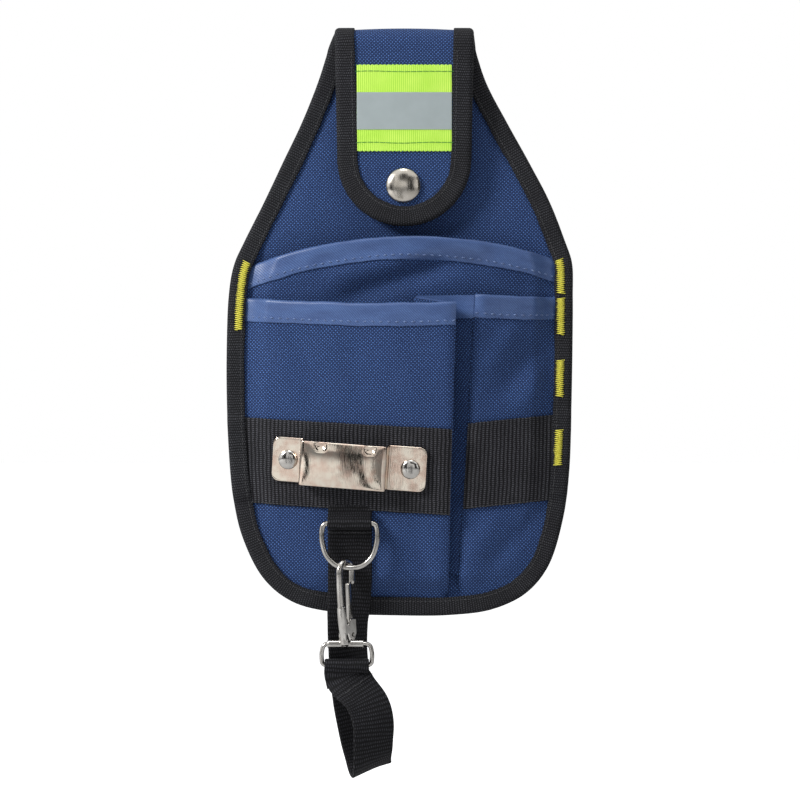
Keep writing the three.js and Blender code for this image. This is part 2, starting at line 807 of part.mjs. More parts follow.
const clipRoll = THREE.MathUtils.degToRad(clipRollDeg);
const rivetReach = clipWide * (0.5 - rivetInsetShare);
const rivetPlaces = [-rivetReach, rivetReach].map((reach) => leftSurfaceNear(
  clipCentreShare * halfWidth + reach * Math.cos(clipRoll), -clipCentreDrop - reach * Math.sin(clipRoll)));
const clipFrame = makeClipFrame();

function makeClipFrame() {
  const centre = rivetPlaces[0].clone().lerp(rivetPlaces[1], 0.5);
  const along = rivetPlaces[1].clone().sub(rivetPlaces[0]).normalize();
  const lower = leftSurfaceNear(centre.x, centre.z - clipTall / 2);
  const upper = leftSurfaceNear(centre.x, centre.z + clipTall / 2);
  const rise = upper.sub(lower).normalize();
  return frameOn(along, rise, centre);
}

// A frame with X along a line, Z near a rising line, and Y into the pocket.
function frameOn(along, rise, centre) {
  const inwards = new THREE.Vector3().crossVectors(rise, along).normalize();
  const upwards = new THREE.Vector3().crossVectors(along, inwards);
  return new THREE.Matrix4().makeBasis(along, inwards, upwards).setPosition(centre);
}

// The place straight behind or in front of a point on the rear face of a sheet, read off its facets.
function onRearFacets({ surface, columns, rows }, x, z) {
  const grid = rows.map((v) => columns.map((u) => seatedPoint(surface(u, v), 0)));
  const ray = new THREE.Ray(new THREE.Vector3(x, -pouchHeight, z), new THREE.Vector3(0, 1, 0));
  const place = new THREE.Vector3();
  for (let row = 0; row + 1 < rows.length; row++) {
    for (let column = 0; column + 1 < columns.length; column++) {
      const [a, b] = [grid[row][column], grid[row][column + 1]];
      const [c, d] = [grid[row + 1][column + 1], grid[row + 1][column]];
      if (ray.intersectTriangle(a, b, c, false, place)) return place;
      if (ray.intersectTriangle(a, c, d, false, place)) return place;
    }
  }
  throw new Error("no sheet at this place");
}

// A washer behind the pocket sheet, pressed to its facets.
function washerGeometry(place) {
  const points = [];
  const rings = [
    [rivetShankRadius + clear, clear], [washerRadius, clear],
    [washerRadius, clear + washerThick], [rivetShankRadius + clear, clear + washerThick],
  ];
  for (const turn of evenly(roundSteps, 0, 2 * Math.PI).slice(1)) {
    for (const [radius, behind] of rings) {
      const [x, z] = [place.x + radius * Math.cos(turn), place.z + radius * Math.sin(turn)];
      points.push(onRearFacets(leftSheet, x, z).add(new THREE.Vector3(0, behind, 0)));
    }
  }
  const triangles = [];
  const count = points.length;
  for (let i = 0; i < count; i += rings.length) {
    rings.forEach((_, k) => {
      const next = (k + 1) % rings.length;
      const far = (i + rings.length) % count;
      triangles.push([i + k, i + next, far + next], [i + k, far + next, far + k]);
    });
  }
  return closedGeometry(points, triangles);
}

function inClipFrame(geometry) {
  return geometry.applyMatrix4(clipFrame);
}

function rivetHole(place) {
  const side = rivetPlaces.indexOf(place) === 0 ? -1 : 1;
  const reach = cutOverrun * 3;
  return inClipFrame(barAlongY(rivetShankRadius + clear, -reach, reach, side * rivetReach, 0));
}

function roundedPlate(width, height, corner) {
  const shape = new THREE.Shape();
  const [x, z] = [width / 2, height / 2];
  shape.moveTo(-x + corner, -z);
  shape.lineTo(x - corner, -z);
  shape.absarc(x - corner, -z + corner, corner, -Math.PI / 2, 0);
  shape.lineTo(x, z - corner);
  shape.absarc(x - corner, z - corner, corner, 0, Math.PI / 2);
  shape.lineTo(-x + corner, z);
  shape.absarc(-x + corner, z - corner, corner, Math.PI / 2, Math.PI);
  shape.lineTo(-x, -z + corner);
  shape.absarc(-x + corner, -z + corner, corner, Math.PI, 1.5 * Math.PI);
  return shape;
}

// One stamped plate: two ears on the band and a raised bridge that a tape measure's clip slides over.
function makeClip() {
  const seat = bandThick + 2 * clear + clipLift;
  const left = mix(-clipWide / 2, clipWide / 2, clipBridgeLeftShare);
  const right = mix(-clipWide / 2, clipWide / 2, clipBridgeRightShare);
  const plate = roundedPlate(clipWide, clipTall, clipCorner);
  const blank = plateGeometry(plate, seat, seat + clipStandOff + clipThick);
  const slot = (x0, x1, d0, d1) => new THREE.BoxGeometry(x1 - x0, d1 - d0, clipTall + 2 * cutOverrun)
    .translate((x0 + x1) / 2, -(d0 + d1) / 2, 0);
  const far = clipWide / 2 + cutOverrun;
  const outside = seat + clipStandOff + clipThick + cutOverrun;
  const cutters = [
    slot(-far, left, seat + clipThick, outside),
    slot(right, far, seat + clipThick, outside),
    slot(left + clipThick, right - clipThick, seat - cutOverrun, seat + clipStandOff),
    ...[-1, 1].map((side) => barAlongY(
      rivetShankRadius + clear, seat - cutOverrun, outside, side * rivetReach, 0)),
  ];
  addMesh("tape_clip", inClipFrame(cutFrom(blank, cutters)), "steel");

  const headSeat = seat + clipThick + clear;
  const tail = -(sheetThick + washerThick + 2 * clear);
  const names = ["left", "right"];
  [-1, 1].forEach((side, i) => {
    const rivet = turnedGeometry([
      [0, tail], [rivetShankRadius, tail], [rivetShankRadius, headSeat],
      ...domeProfile(rivetHeadRadius, headSeat, headSeat + rivetHeadTall),
    ]).translate(side * rivetReach, 0, 0);
    addMesh(`clip_rivet_${names[i]}`, inClipFrame(rivet), "steel");
    const onShank = new THREE.Vector3(side * rivetReach, sheetThick + clear + washerThick / 2, 0);
    addMesh(`rivet_washer_${names[i]}`, washerGeometry(onShank.applyMatrix4(clipFrame)), "steel");
  });
}

// Back panel: front fabric, foam and rear lining, one behind the other.
function panelOutline(inset, top) {
  const start = leftAt(top);
  const finish = rightAt(top);
  const points = evenly(edgeSteps, start, finish).map((share) => edgePoint(share, inset));
  return new THREE.Shape(points.map((p) => new THREE.Vector2(p.x, -Math.max(top, -p.z))));
}

// A plate of the pouch's outline at an inset, between two depths.
function panelPlate(inset, depthFrom, depthTo) {
  return plateGeometry(panelOutline(inset, hingeDrop + clear), depthFrom, depthTo);
}

function makePanel() {
  const post = barAlongY(barrelRadius + clear, -cutOverrun, panelDepth + cutOverrun, snapX, -snapDrop);
  const layer = (inset, from, to) => cutFrom(panelPlate(inset, from, to), [post]);
  addMesh("rear_lining", layer(panelInset, 0, liningThick), "navyFabric");
  addMesh("foam_core", layer(foamInset, liningThick, liningThick + foamThick), "foam");
  addMesh("front_panel", layer(panelInset, liningThick + foamThick, panelDepth), "navyFabric");
}

// Depth of the inner face of the binding's front leg: deeper where it holds the pocket sheets down.
function legDepth(z) {
  return mix(highLegDepth, lowLegDepth, smooth(-z, backHemLeftDrop - 2 * hemTall, backHemLeftDrop));
}

function makePanelBinding() {
  const start = leftAt(hingeDrop + clear);
  const finish = rightAt(hingeDrop + clear);
  const outer = [];
  const inner = [];
  for (const share of evenly(edgeSteps, start, finish)) {
    const depth = legDepth(edgePoint(share, 0).z);
    const at = (inset, y) => {
      const p = edgePoint(share, inset);
      return new THREE.Vector3(p.x, -y, Math.min(p.z, -(hingeDrop + clear)));
    };
    outer.push([
      at(bindingLeg, -bindingThick), at(bindingThick, -bindingThick), at(0, 0), at(0, depth),
      at(bindingThick, depth + bindingThick), at(bindingLeg, depth + bindingThick),
    ]);
    const bed = bindingThick + bindingClear;
    inner.push([
      at(bindingLeg, 0), at(bed, 0), ...wallShares.map((wall) => at(bed, wall * depth)),
      at(bed, depth), at(bindingLeg, depth),
    ]);
  }
  addMesh("panel_binding", sheetGeometry(outer, inner), "blackWebbing");
}

// The flap's sheet runs up from the hinge line, over the belt fold and down the front.
const foldRadius = (panelDepth + beltGap + flapThick) / 2;
const foldCentreZ = flapThick - foldRadius;
const flapLean = THREE.MathUtils.degToRad(flapLeanDeg);
const riseLong = hingeDrop + foldCentreZ - clear;
const arcLong = foldRadius * (Math.PI + flapLean);

// A point of the flap: x across, s along its outer face from the hinge line, and how far proud of it.
function flapPoint(x, s, proud) {
  if (s <= riseLong) return new THREE.Vector3(x, proud, -hingeDrop + clear + s);
  const turn = Math.min(s - riseLong, arcLong) / foldRadius;
  const rest = Math.max(0, s - riseLong - arcLong);
  const reach = foldRadius + proud;
  return new THREE.Vector3(
    x, -foldRadius + reach * Math.cos(turn) + rest * Math.sin(flapLean),
    foldCentreZ + reach * Math.sin(turn) - rest * Math.cos(flapLean),
  );
}

const flapLong = riseLong + arcLong + (flapTipDrop + foldCentreZ) / Math.cos(flapLean);
const flapAtDrop = (drop) => riseLong + arcLong + (drop + foldCentreZ) / Math.cos(flapLean);

// The flap's edge in x and s, from its left end at the hinge round the tip to its right end.
function flapEdge(inset) {
  const tipCentre = flapLong - flapHalfFoot;
  const fold = evenly(foldSteps, riseLong, riseLong + arcLong);
  const side = [0, ...fold, mix(fold.at(-1), tipCentre, 0.5), tipCentre].map(
    (s) => [mix(flapHalfTop, flapHalfFoot, s / tipCentre) - inset, s]);
  const round = evenly(tipSteps, 0, Math.PI / 2).slice(1, -1).map((turn) => [
    (flapHalfFoot - inset) * Math.cos(turn), tipCentre + (flapHalfFoot - inset) * Math.sin(turn),
  ]);
  return [...side, ...round];
}

function flapLayer(inset, from, to) {
  const across = [-1, -0.5, 0, 0.5, 1];
  const edge = flapEdge(inset);
  const grid = (proud) => edge.map(([half, s]) => across.map(
    (share) => flapPoint(flapCentreX + half * share, s, proud)));
  return sheetGeometry(grid(to), grid(from));
}

function snapHole() {
  const reach = flapThick + cutOverrun;
  return inSnapFrame(barAlongY(barrelRadius + clear, -reach, reach, 0, 0));
}

// The snap's frame on the front face of the flap.
const snapSeat = flapPoint(snapX, flapAtDrop(snapDrop), 0);

function inSnapFrame(geometry) {
  return geometry.rotateX(flapLean).translate(snapSeat.x, snapSeat.y, snapSeat.z);
}

function makeFlap() {
  const split = -flapThick * (1 - liningShare);
  addMesh("flap_front", cutFrom(flapLayer(panelInset, split, 0), [snapHole()]), "navyFabric");
  const lining = flapLayer(panelInset, -flapThick, split - layerGap);
  addMesh("flap_lining", cutFrom(lining, [snapHole()]), "navyFabric");
}

function makeFlapBinding() {
  const legs = flapEdge(0);
  const innerLegs = flapEdge(flapBindingLeg);
  const rim = flapEdge(bindingThick);
  const bed = flapEdge(bindingThick + bindingClear);
  const wall = bindingThick;
  const low = -(flapThick + bindingClear);
  const run = [];
  for (const side of [-1, 1]) {
    const order = legs.map((_, i) => i);
    if (side === 1) order.reverse();
    for (const i of order) run.push([side, i]);
    if (side === -1) run.push([0, legs.length - 1]);
  }
  const tip = (inset) => [0, flapLong - inset];
  const at = (edge, inset, side, i, proud) => {
    const [half, s] = side === 0 ? tip(inset) : edge[i];
    return flapPoint(flapCentreX + side * half, s, proud);
  };
  const outer = run.map(([side, i]) => [
    at(innerLegs, flapBindingLeg, side, i, bindingClear + wall), at(rim, wall, side, i, bindingClear + wall),
    at(legs, 0, side, i, 0), at(legs, 0, side, i, -flapThick),
    at(rim, wall, side, i, low - wall), at(innerLegs, flapBindingLeg, side, i, low - wall),
  ]);
  const inner = run.map(([side, i]) => [
    at(innerLegs, flapBindingLeg, side, i, bindingClear), at(bed, wall + bindingClear, side, i, bindingClear),
    at(bed, wall + bindingClear, side, i, 0), at(bed, wall + bindingClear, side, i, -flapThick),
    at(bed, wall + bindingClear, side, i, low), at(innerLegs, flapBindingLeg, side, i, low),
  ]);
  addMesh("flap_binding", sheetGeometry(outer, inner), "blackWebbing");
}

function makeFlapTapes() {
  const patchOn = (drop, tall, from, to) => {
    const rows = evenly(tapeSteps, flapAtDrop(drop), flapAtDrop(drop + tall));
    const grid = (proud) => rows.map((s) => [-1, 0, 1].map(
      (share) => flapPoint(flapCentreX + hiVisHalf * share, s, proud)));
    return sheetGeometry(grid(to), grid(from));
  };
  const tapeTop = clear + hiVisThick;
  const [hiVisDrop, hiVisTall] = [hiVisTopShare * pouchHeight, hiVisTallShare * pouchHeight];
  addMesh("hi_vis_tape", patchOn(hiVisDrop, hiVisTall, clear, tapeTop), "hiVis");
  const stripTall = stripTallShare * pouchHeight;
  const stripDrop = hiVisDrop + (hiVisTall - stripTall) / 2;
  const stripSeat = tapeTop + clear;
  addMesh("reflective_strip", patchOn(stripDrop, stripTall, stripSeat, stripSeat + stripThick), "reflective");
}

// Snap fastener: a domed cap and a socket on the flap, a stud and its rear cap on the panel.
function makeSnap() {
  const socketFace = -(flapThick + clear);
  const barrelEnd = socketFace - barrelReach;
  const cap = turnedGeometry([
    [0, barrelEnd], [barrelRadius, barrelEnd], [barrelRadius, clear], [capRadius, clear],
    ...domeProfile(capRadius, clear + capRimTall, clear + capTall),
  ]);
  addMesh("snap_cap", inSnapFrame(cap), "steel");

  const socketBack = socketFace - snapPlate;
  const socket = turnedGeometry([
    [barrelRadius + clear, socketFace], [socketRadius, socketFace], [socketRadius, socketFace - socketTall],
    [socketBore, socketFace - socketTall], [socketBore, socketBack], [barrelRadius + clear, socketBack],
    [barrelRadius + clear, socketFace],
  ]);
  addMesh("snap_socket", inSnapFrame(socket), "steel");

  const studFace = panelDepth + clear;
  const studTop = -snapSeat.y - flapThick - clear - snapPlate - studTopGap;
  const stud = turnedGeometry([
    [studBore, studFace], [studBaseRadius, studFace], [studBaseRadius, studFace + snapPlate],
    [studRadius - studNeckLess, studFace + snapPlate], [studRadius, studTop - studShoulderTall],
    [studRadius - studTipLess, studTop], [studBore, studTop], [studBore, studFace],
  ]).translate(snapX, 0, -snapDrop);
  addMesh("snap_stud", stud, "steel");

  const pin = studBore - clear;
  const pinEnd = studTop - barrelReach;
  const rearFace = -(clear + rearCapTall);
  const rear = turnedGeometry([
    [0, pinEnd], [pin, pinEnd], [pin, -clear], [rearCapRadius, -clear],
    [rearCapRadius - rearCapBevel, rearFace], [0, rearFace],
  ]).translate(snapX, 0, -snapDrop);
  addMesh("snap_rear_cap", rear, "steel");
}

// A ribbon of webbing along a line of places, each with the direction of its width.
function ribbonGeometry(places, widths, wide, thick) {
  const sideGrid = (proud) => places.map((place, i) => {
    const before = places[Math.max(0, i - 1)];
    const after = places[Math.min(places.length - 1, i + 1)];
    const along = after.clone().sub(before).normalize();
    const width = widths[i].clone().addScaledVector(along, -widths[i].dot(along)).normalize();
    const normal = new THREE.Vector3().crossVectors(along, width);
    return [-0.5, 0.5].map((side) => place.clone()
      .addScaledVector(width, side * wide).addScaledVector(normal, proud));
  });
  return sheetGeometry(sideGrid(thick / 2), sideGrid(-thick / 2));
}

// The webbing tab: from under the band down behind the bar of the ring, round it and up in front.
function makeRingTab() {
  const hug = ringWire / 2 + clear + strapThick / 2;
  const farSide = ringX + strapWide / 2;
  const topZ = -(leftBandDrop(farSide) + bandTall + 2 * clear);
  const [, seat] = leftSheetNear(farSide, topZ);
  const rear = seat + sheetThick + clear + strapThick / 2;
  const front = rear + strapThick + clear;
  // Both strands meet the turn round the bar where they are tangent to it.
  const tangentTurn = (depth, side) => {
    const [across, rise] = [depth - barDepth, topZ - barZ];
    return Math.atan2(rise, across) + side * Math.acos(hug / Math.hypot(across, rise));
  };
  const line = [[rear, topZ]];
  for (const turn of evenly(tabSteps, tangentTurn(rear, 1), 2 * Math.PI + tangentTurn(front, -1))) {
    line.push([barDepth + hug * Math.cos(turn), barZ + hug * Math.sin(turn)]);
  }
  line.push([front, topZ]);
  const places = line.map(([depth, z]) => new THREE.Vector3(ringX, -depth, z));
  const widths = places.map(() => new THREE.Vector3(1, 0, 0));
  addMesh("ring_tab", ribbonGeometry(places, widths, strapWide, strapThick), "blackWebbing");
}

// A closed curve in X and Z, mirrored left to right, hung from its top middle.
function mirroredLoop(shares, wide, tall, x, depth, topZ) {
  const right = shares.map(([across, down]) => [across, down]);
  const left = shares.slice(1, -1).reverse().map(([across, down]) => [-across, down]);
  return new THREE.CatmullRomCurve3([...right, ...left].map(([across, down]) => new THREE.Vector3(
    x + (across * wide) / 2, -depth, topZ - down * tall)), true, "centripetal");
}

function makeRing() {
  const loop = mirroredLoop(ringShares, ringWide, ringTall, ringX, barDepth, barZ);
  addMesh("d_ring", wireGeometry(loop, ringWire, ringSteps, true), "steel");
}

// The hook's own frame: its origin is where the bow sits on the ring, and its bow lies in X and Z.
const hookSeatZ = barZ - ringTall;
const hookTurn = THREE.MathUtils.degToRad(hookTurnDeg);
const hook = new THREE.Group();
hook.position.set(hookX, -barDepth, hookSeatZ);
hook.rotation.z = hookTurn;
part.add(hook);

function makeHook() {
  const half = bowWide / 2;
  const apex = (ringWire + hookWire) / 2 + clear;
  const arcZ = apex - half;
  const bow = [flat(-half, -shankLong), flat(-half, mix(-shankLong, arcZ, bowStartShare))];
  for (const turn of evenly(roundSteps / 2, Math.PI, 0)) {
    bow.push(new THREE.Vector3(half * Math.cos(turn), 0, arcZ + half * Math.sin(turn)));
  }
  bow.push(new THREE.Vector3(half, 0, -tipLong));
  const bowCurve = new THREE.CatmullRomCurve3(bow, false, "centripetal");
  const bowWire = wireGeometry(bowCurve, hookWire, bowSteps, false);

  const outline = new THREE.Shape(hookBodyShares.map(
    ([across, down]) => new THREE.Vector2(across * half, -down * hookLong)));
  const cast = plateGeometry(outline, -bodyThick / 2, bodyThick / 2);
  const barAcross = (radius, long) => new THREE.CylinderGeometry(radius, radius, long, roundSteps)
    .rotateZ(Math.PI / 2).translate(crossbarX - hookX, 0, -hookLong).rotateZ(-hookTurn);
  const crossbar = barAcross(crossbarRadius, crossbarLong);
  const bore = barAcross(eyeWire / 2 + clear, crossbarLong + 2 * cutOverrun);
  const slotFrom = gatePivotAcross - gateFootRadius - springThick - 3 * clear;
  const slotFoot = pivotZ - gateFootRadius - clear;
  const slotTop = cutOverrun - slotTopShare * hookLong;
  const slotTo = slotFrontShare * half + cutOverrun;
  const slot = new THREE.BoxGeometry(slotTo - slotFrom, gateThick + 2 * clear, slotTop - slotFoot)
    .translate((slotFrom + slotTo) / 2, 0, (slotTop + slotFoot) / 2);
  const pinHole = barAlongY(gatePinRadius + clear, -bodyThick, bodyThick, gatePivotAcross, pivotZ);
  const body = cutFrom(joined([cast, crossbar, bowWire]), [bore, slot, pinHole]);
  addMesh("snap_hook", body, "steel", hook);
}

const pivotZ = gatePivotRise - hookLong;

function makeGate() {
  const half = bowWide / 2;
  const restAcross = half - hookWire / 2 - clear - gateThick / 2;
  const leaf = new THREE.Vector2(restAcross - gatePivotAcross, -gateTopDrop - pivotZ);
  const lean = Math.atan2(leaf.y, leaf.x);
  const along = (reach, side) => [
    gatePivotAcross + reach * Math.cos(lean) - side * Math.sin(lean),
    pivotZ + reach * Math.sin(lean) + side * Math.cos(lean),
  ];
  const outline = new THREE.Shape();
  const edge = gateThick / 2;
  outline.moveTo(...along(gateFootRadius, -edge));
  for (const turn of evenly(roundSteps / 2, -Math.PI / 4, -1.75 * Math.PI)) {
    outline.lineTo(...along(gateFootRadius * Math.cos(turn), gateFootRadius * Math.sin(turn)));
  }
  outline.lineTo(...along(gateFootRadius, edge));
  outline.lineTo(...along(leaf.length() - edge, edge));
  outline.lineTo(...along(leaf.length(), 0));
  outline.lineTo(...along(leaf.length() - edge, -edge));
  const plate = plateGeometry(outline, -gateThick / 2, gateThick / 2);
  const hole = barAlongY(gatePinRadius + clear, -gateThick, gateThick, gatePivotAcross, pivotZ);
  addMesh("hook_gate", cutFrom(plate, [hole]), "steel", hook);
  const pin = barAlongY(gatePinRadius, -bodyThick / 2, bodyThick / 2, gatePivotAcross, pivotZ);
  addMesh("gate_pin", pin, "steel", hook);

  const springX = gatePivotAcross - gateFootRadius - clear - springThick / 2;
  const places = springPlaces.map(([across, rise]) => flat(springX + across, pivotZ + rise));
  const widths = places.map(() => new THREE.Vector3(0, 1, 0));
  addMesh("gate_spring", ribbonGeometry(places, widths, springWide, springThick), "steel", hook);
}

const crossbarZ = hookSeatZ - hookLong;
const eyeBarZ = crossbarZ - eyeTall;

function makeEye() {
  const loop = mirroredLoop(eyeShares, eyeWide, eyeTall, eyeX, barDepth, crossbarZ);
  addMesh("eye_loop", wireGeometry(loop, eyeWire, eyeSteps, true), "steel");
}

// The long strap: its free route, then its fold over the bar of the eye and the sewn tail behind.
function makeStrap() {
  const hug = eyeWire / 2 + foldClear + strapThick / 2;
  const pair = strapThick / 2 + clear / 2;
  const twist = THREE.MathUtils.degToRad(strapTwistDeg);
  const tilt = THREE.MathUtils.degToRad(strapTiltDeg);
  const route = strapRouteShares.map(([across, depth, drop, twistShare, tiltShare]) => ({
    place: new THREE.Vector3(ringX + across * strapWide, -depth * barDepth, barZ - drop * loopDrop),
    turn: twist * twistShare,
    lift: tilt * tiltShare,
  }));
  const straight = (depth, z) => ({ place: new THREE.Vector3(eyeX, -depth, z), turn: 0, lift: 0 });
  route.push(straight(barDepth + pair, eyeBarZ - 2 * hug));
  for (const turn of evenly(strapFoldSteps, 0, Math.PI)) {
    route.push(straight(barDepth + hug * Math.cos(turn), eyeBarZ + hug * Math.sin(turn)));
  }
  route.push(straight(barDepth - pair, eyeBarZ - 2 * hug), straight(barDepth - pair, eyeBarZ - foldTail));
  const line = new THREE.CatmullRomCurve3(route.map(({ place }) => place), false, "centripetal");
  const places = [];
  const widths = [];
  const last = (route.length - 1) * strapFine;
  for (let i = 0; i <= last; i++) {
    places.push(line.getPoint(i / last));
    const [a, b] = [route[Math.floor(i / strapFine)], route[Math.ceil(i / strapFine)]];
    const [turn, lift] = [mix(a.turn, b.turn, 0.5), mix(a.lift, b.lift, 0.5)];
    widths.push(new THREE.Vector3(
      Math.cos(turn) * Math.cos(lift), Math.sin(turn) * Math.cos(lift), Math.sin(lift)));
  }
  addMesh("loop_strap", ribbonGeometry(places, widths, strapWide, strapThick), "blackWebbing");
}

// Zigzag bar tacks through the binding beside the pocket seams.
function makeTacks() {
  const tack = (name, at, [from, to], inset) => {
    const shares = evenly(tackSteps, at(from * pouchHeight), at(to * pouchHeight));
    const grid = (proud) => shares.map((share) => [inset, inset + tackWide].map((reach) => {
      const p = edgePoint(share, reach);
      return seatedPoint([p, legDepth(edgePoint(share, 0).z) + bindingThick], proud);
    }));
    addMesh(name, sheetGeometry(grid(2 * clear + tackThick), grid(2 * clear)), "thread");
  };
  tack("bar_tack_left", leftAt, leftTackShares, leftTackInset);
  rightTackShares.forEach((ends, i) => tack(`bar_tack_right_${i + 1}`, rightAt, ends, rightTackInset));
}

makePanel();
makePanelBinding();
makePockets();
makePleat();
makeBand();
makeClip();
makeFlap();
makeFlapBinding();
makeFlapTapes();
makeSnap();
makeRingTab();
makeRing();
makeHook();
makeGate();
makeEye();
makeStrap();
makeTacks();

export default part;
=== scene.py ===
import math

import bpy
import numpy as np
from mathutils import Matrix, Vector


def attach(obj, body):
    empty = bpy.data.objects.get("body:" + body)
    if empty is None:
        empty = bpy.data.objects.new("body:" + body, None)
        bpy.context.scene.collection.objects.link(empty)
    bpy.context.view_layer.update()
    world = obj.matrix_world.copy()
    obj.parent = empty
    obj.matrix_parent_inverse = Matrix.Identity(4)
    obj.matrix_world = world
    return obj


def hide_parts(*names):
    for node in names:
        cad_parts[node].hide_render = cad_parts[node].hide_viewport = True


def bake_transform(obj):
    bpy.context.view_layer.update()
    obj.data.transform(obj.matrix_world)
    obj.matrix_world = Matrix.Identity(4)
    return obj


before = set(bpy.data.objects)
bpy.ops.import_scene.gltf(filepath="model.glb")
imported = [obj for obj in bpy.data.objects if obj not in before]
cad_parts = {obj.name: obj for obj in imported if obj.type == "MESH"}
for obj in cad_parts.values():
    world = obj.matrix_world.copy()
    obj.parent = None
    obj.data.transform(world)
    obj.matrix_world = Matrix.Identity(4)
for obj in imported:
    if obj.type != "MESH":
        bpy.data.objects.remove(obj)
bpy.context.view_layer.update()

# Everything below is measured in millimetres, as in the part's source: x to the right, z up, and depth
# towards the viewer. MM turns it into metres where a mesh is made.
MM = 0.001

pouch_tall = 257.7
pouch_wide = 154.5
half_wide = pouch_wide / 2
hinge_drop = 6.3
clear = 0.3
panel_deep = 4
sheet_thick = 1
sheet_inset = 2.2
leg_long = 8.2
seam_start = leg_long + 5 * clear
seam_ramp = 7
back_seat = panel_deep + clear
front_seat = back_seat + sheet_thick + clear
low_leg_deep = front_seat + sheet_thick + clear
high_leg_deep = panel_deep + clear

back_mouth_deep = 13
left_mouth_deep = 16
left_stack_deep = 4.4
right_mouth_deep = 9
right_stack_deep = 2.6
hem_tall = 9
band_tall = 38
band_thick = 1.5
left_fold_x = 23.6
left_fold_foot_x = 20.4
right_fold_x = 32
right_fold_foot_x = 24.4
valley_x = 4
valley_foot_x = 11.4
valley_wide = 7

flap_thick = 2.4
flap_half_top = 31.2
flap_half_foot = 29.7
flap_centre_x = 1
flap_leg_long = 8.9
flap_lean = math.radians(1.8)
belt_gap = 8.5
fold_radius = (panel_deep + belt_gap + flap_thick) / 2
fold_centre_z = flap_thick - fold_radius
rise_long = hinge_drop + fold_centre_z - clear
arc_long = fold_radius * (math.pi + flap_lean)
arc_top = rise_long + fold_radius * math.pi / 2

strap_wide = 19.4
strap_thick = 1.3
ring_x = -23
bar_deep = 20.8
ring_wire = 2.4
ring_wide = 24.2
ring_tall = 19.5


def share_of_height(share):
    return share * pouch_tall


back_hem_left = share_of_height(0.4075)
back_hem_right = share_of_height(0.3943)
back_hem_crown = share_of_height(0.0504)
left_hem_drop = share_of_height(0.4532)
left_fold_drop = share_of_height(0.4657)
left_hem_sag = share_of_height(0.0062)
right_hem_drop = share_of_height(0.4517)
right_hem_sag = share_of_height(0.0031)
band_left_drop = share_of_height(0.6558)
band_left_fall = share_of_height(0.0217)
band_right_drop = share_of_height(0.6659)
band_right_rise = share_of_height(0.0171)
flap_tip_drop = share_of_height(0.3283)
hi_vis_drop = share_of_height(0.0528)
hi_vis_tall = share_of_height(0.1475)
strip_tall = share_of_height(0.0636)
snap_x = 0.6
snap_drop = flap_tip_drop - flap_leg_long - 1.3 - 7.8
bar_z = -(band_left_drop + band_tall + 8.8)
flap_long = rise_long + arc_long + (flap_tip_drop + fold_centre_z) / math.cos(flap_lean)
tip_centre = flap_long - flap_half_foot

# The outer edge from the left end of the hinge line down round the bottom and up to the right end:
# shares of half the pouch width and of the height below the hinge line.
edge_shares = [
    (-0.43, 0), (-0.487, 0.0549), (-0.579, 0.1256), (-0.687, 0.1953), (-0.796, 0.2661),
    (-0.911, 0.3368), (-0.966, 0.3757), (-0.995, 0.4198), (-1.012, 0.5479), (-1.002, 0.6874),
    (-0.971, 0.795), (-0.916, 0.8647), (-0.796, 0.9354), (-0.634, 0.9754), (-0.388, 0.9944),
    (0, 1), (0.285, 0.999), (0.518, 0.9892), (0.712, 0.961), (0.841, 0.9139), (0.928, 0.8293),
    (0.962, 0.7509), (0.977, 0.631), (0.985, 0.4362), (0.98, 0.3737), (0.938, 0.3327),
    (0.853, 0.2661), (0.733, 0.1953), (0.607, 0.1256), (0.487, 0.0549), (0.427, 0),
]


# Lines and numbers

def mix(a, b, share):
    return a + (b - a) * share


def ease(value, low, high):
    share = np.clip((np.asarray(value, float) - low) / (high - low), 0, 1)
    return share * share * (3 - 2 * share)


def alike(*values):
    """The values as arrays of one shape."""
    return np.broadcast_arrays(*(np.asarray(value, float) for value in values))


def both_faces(front, rear):
    """A closed ring: along the front face and back along the rear one."""
    return np.concatenate([front, rear[::-1]])


def unit(v):
    v = np.asarray(v, float)
    return v / np.maximum(np.linalg.norm(v, axis=-1, keepdims=True), 1e-12)


def curved(points, closed=False, fine=24):
    """A smooth centripetal line through the points, as a dense list."""
    p = np.array(points, float)
    n = len(p)
    runs = []
    for i in range(n if closed else n - 1):
        p1, p2 = p[i], p[(i + 1) % n]
        p0 = p[i - 1] if closed or i > 0 else 2 * p1 - p2
        p3 = p[(i + 2) % n] if closed or i + 2 < n else 2 * p2 - p1
        d0, d1, d2 = (max(((b - a) ** 2).sum(), 1e-12) ** 0.25 for a, b in ((p0, p1), (p1, p2), (p2, p3)))
        m1 = ((p1 - p0) / d0 - (p2 - p0) / (d0 + d1) + (p2 - p1) / d1) * d1
        m2 = ((p2 - p1) / d1 - (p3 - p1) / (d1 + d2) + (p3 - p2) / d2) * d1
        t = np.linspace(0, 1, fine, endpoint=False)[:, None]
        runs.append(p1 + m1 * t + (3 * (p2 - p1) - 2 * m1 - m2) * t ** 2 + (2 * (p1 - p2) + m1 + m2) * t ** 3)
    runs.append(p[:1] if closed else p[-1:])
    return np.concatenate(runs)


class Line:
    """A dense line that is read by its share of length."""

    def __init__(self, points):
        self.points = np.asarray(points, float)
        steps = np.linalg.norm(np.diff(self.points, axis=0), axis=1)
        self.run = np.concatenate([[0], np.cumsum(steps)])
        self.long = self.run[-1]
        self.share = self.run / self.long
        self.slopes = unit(np.gradient(self.points, self.run, axis=0))

    def at(self, share):
        return np.stack([np.interp(share, self.share, c) for c in self.points.T], -1)

    def slope(self, share):
        return unit(np.stack([np.interp(share, self.share, c) for c in self.slopes.T], -1))

    def evenly(self, step):
        return np.linspace(0, 1, max(2, int(round(self.long / step)) + 1))


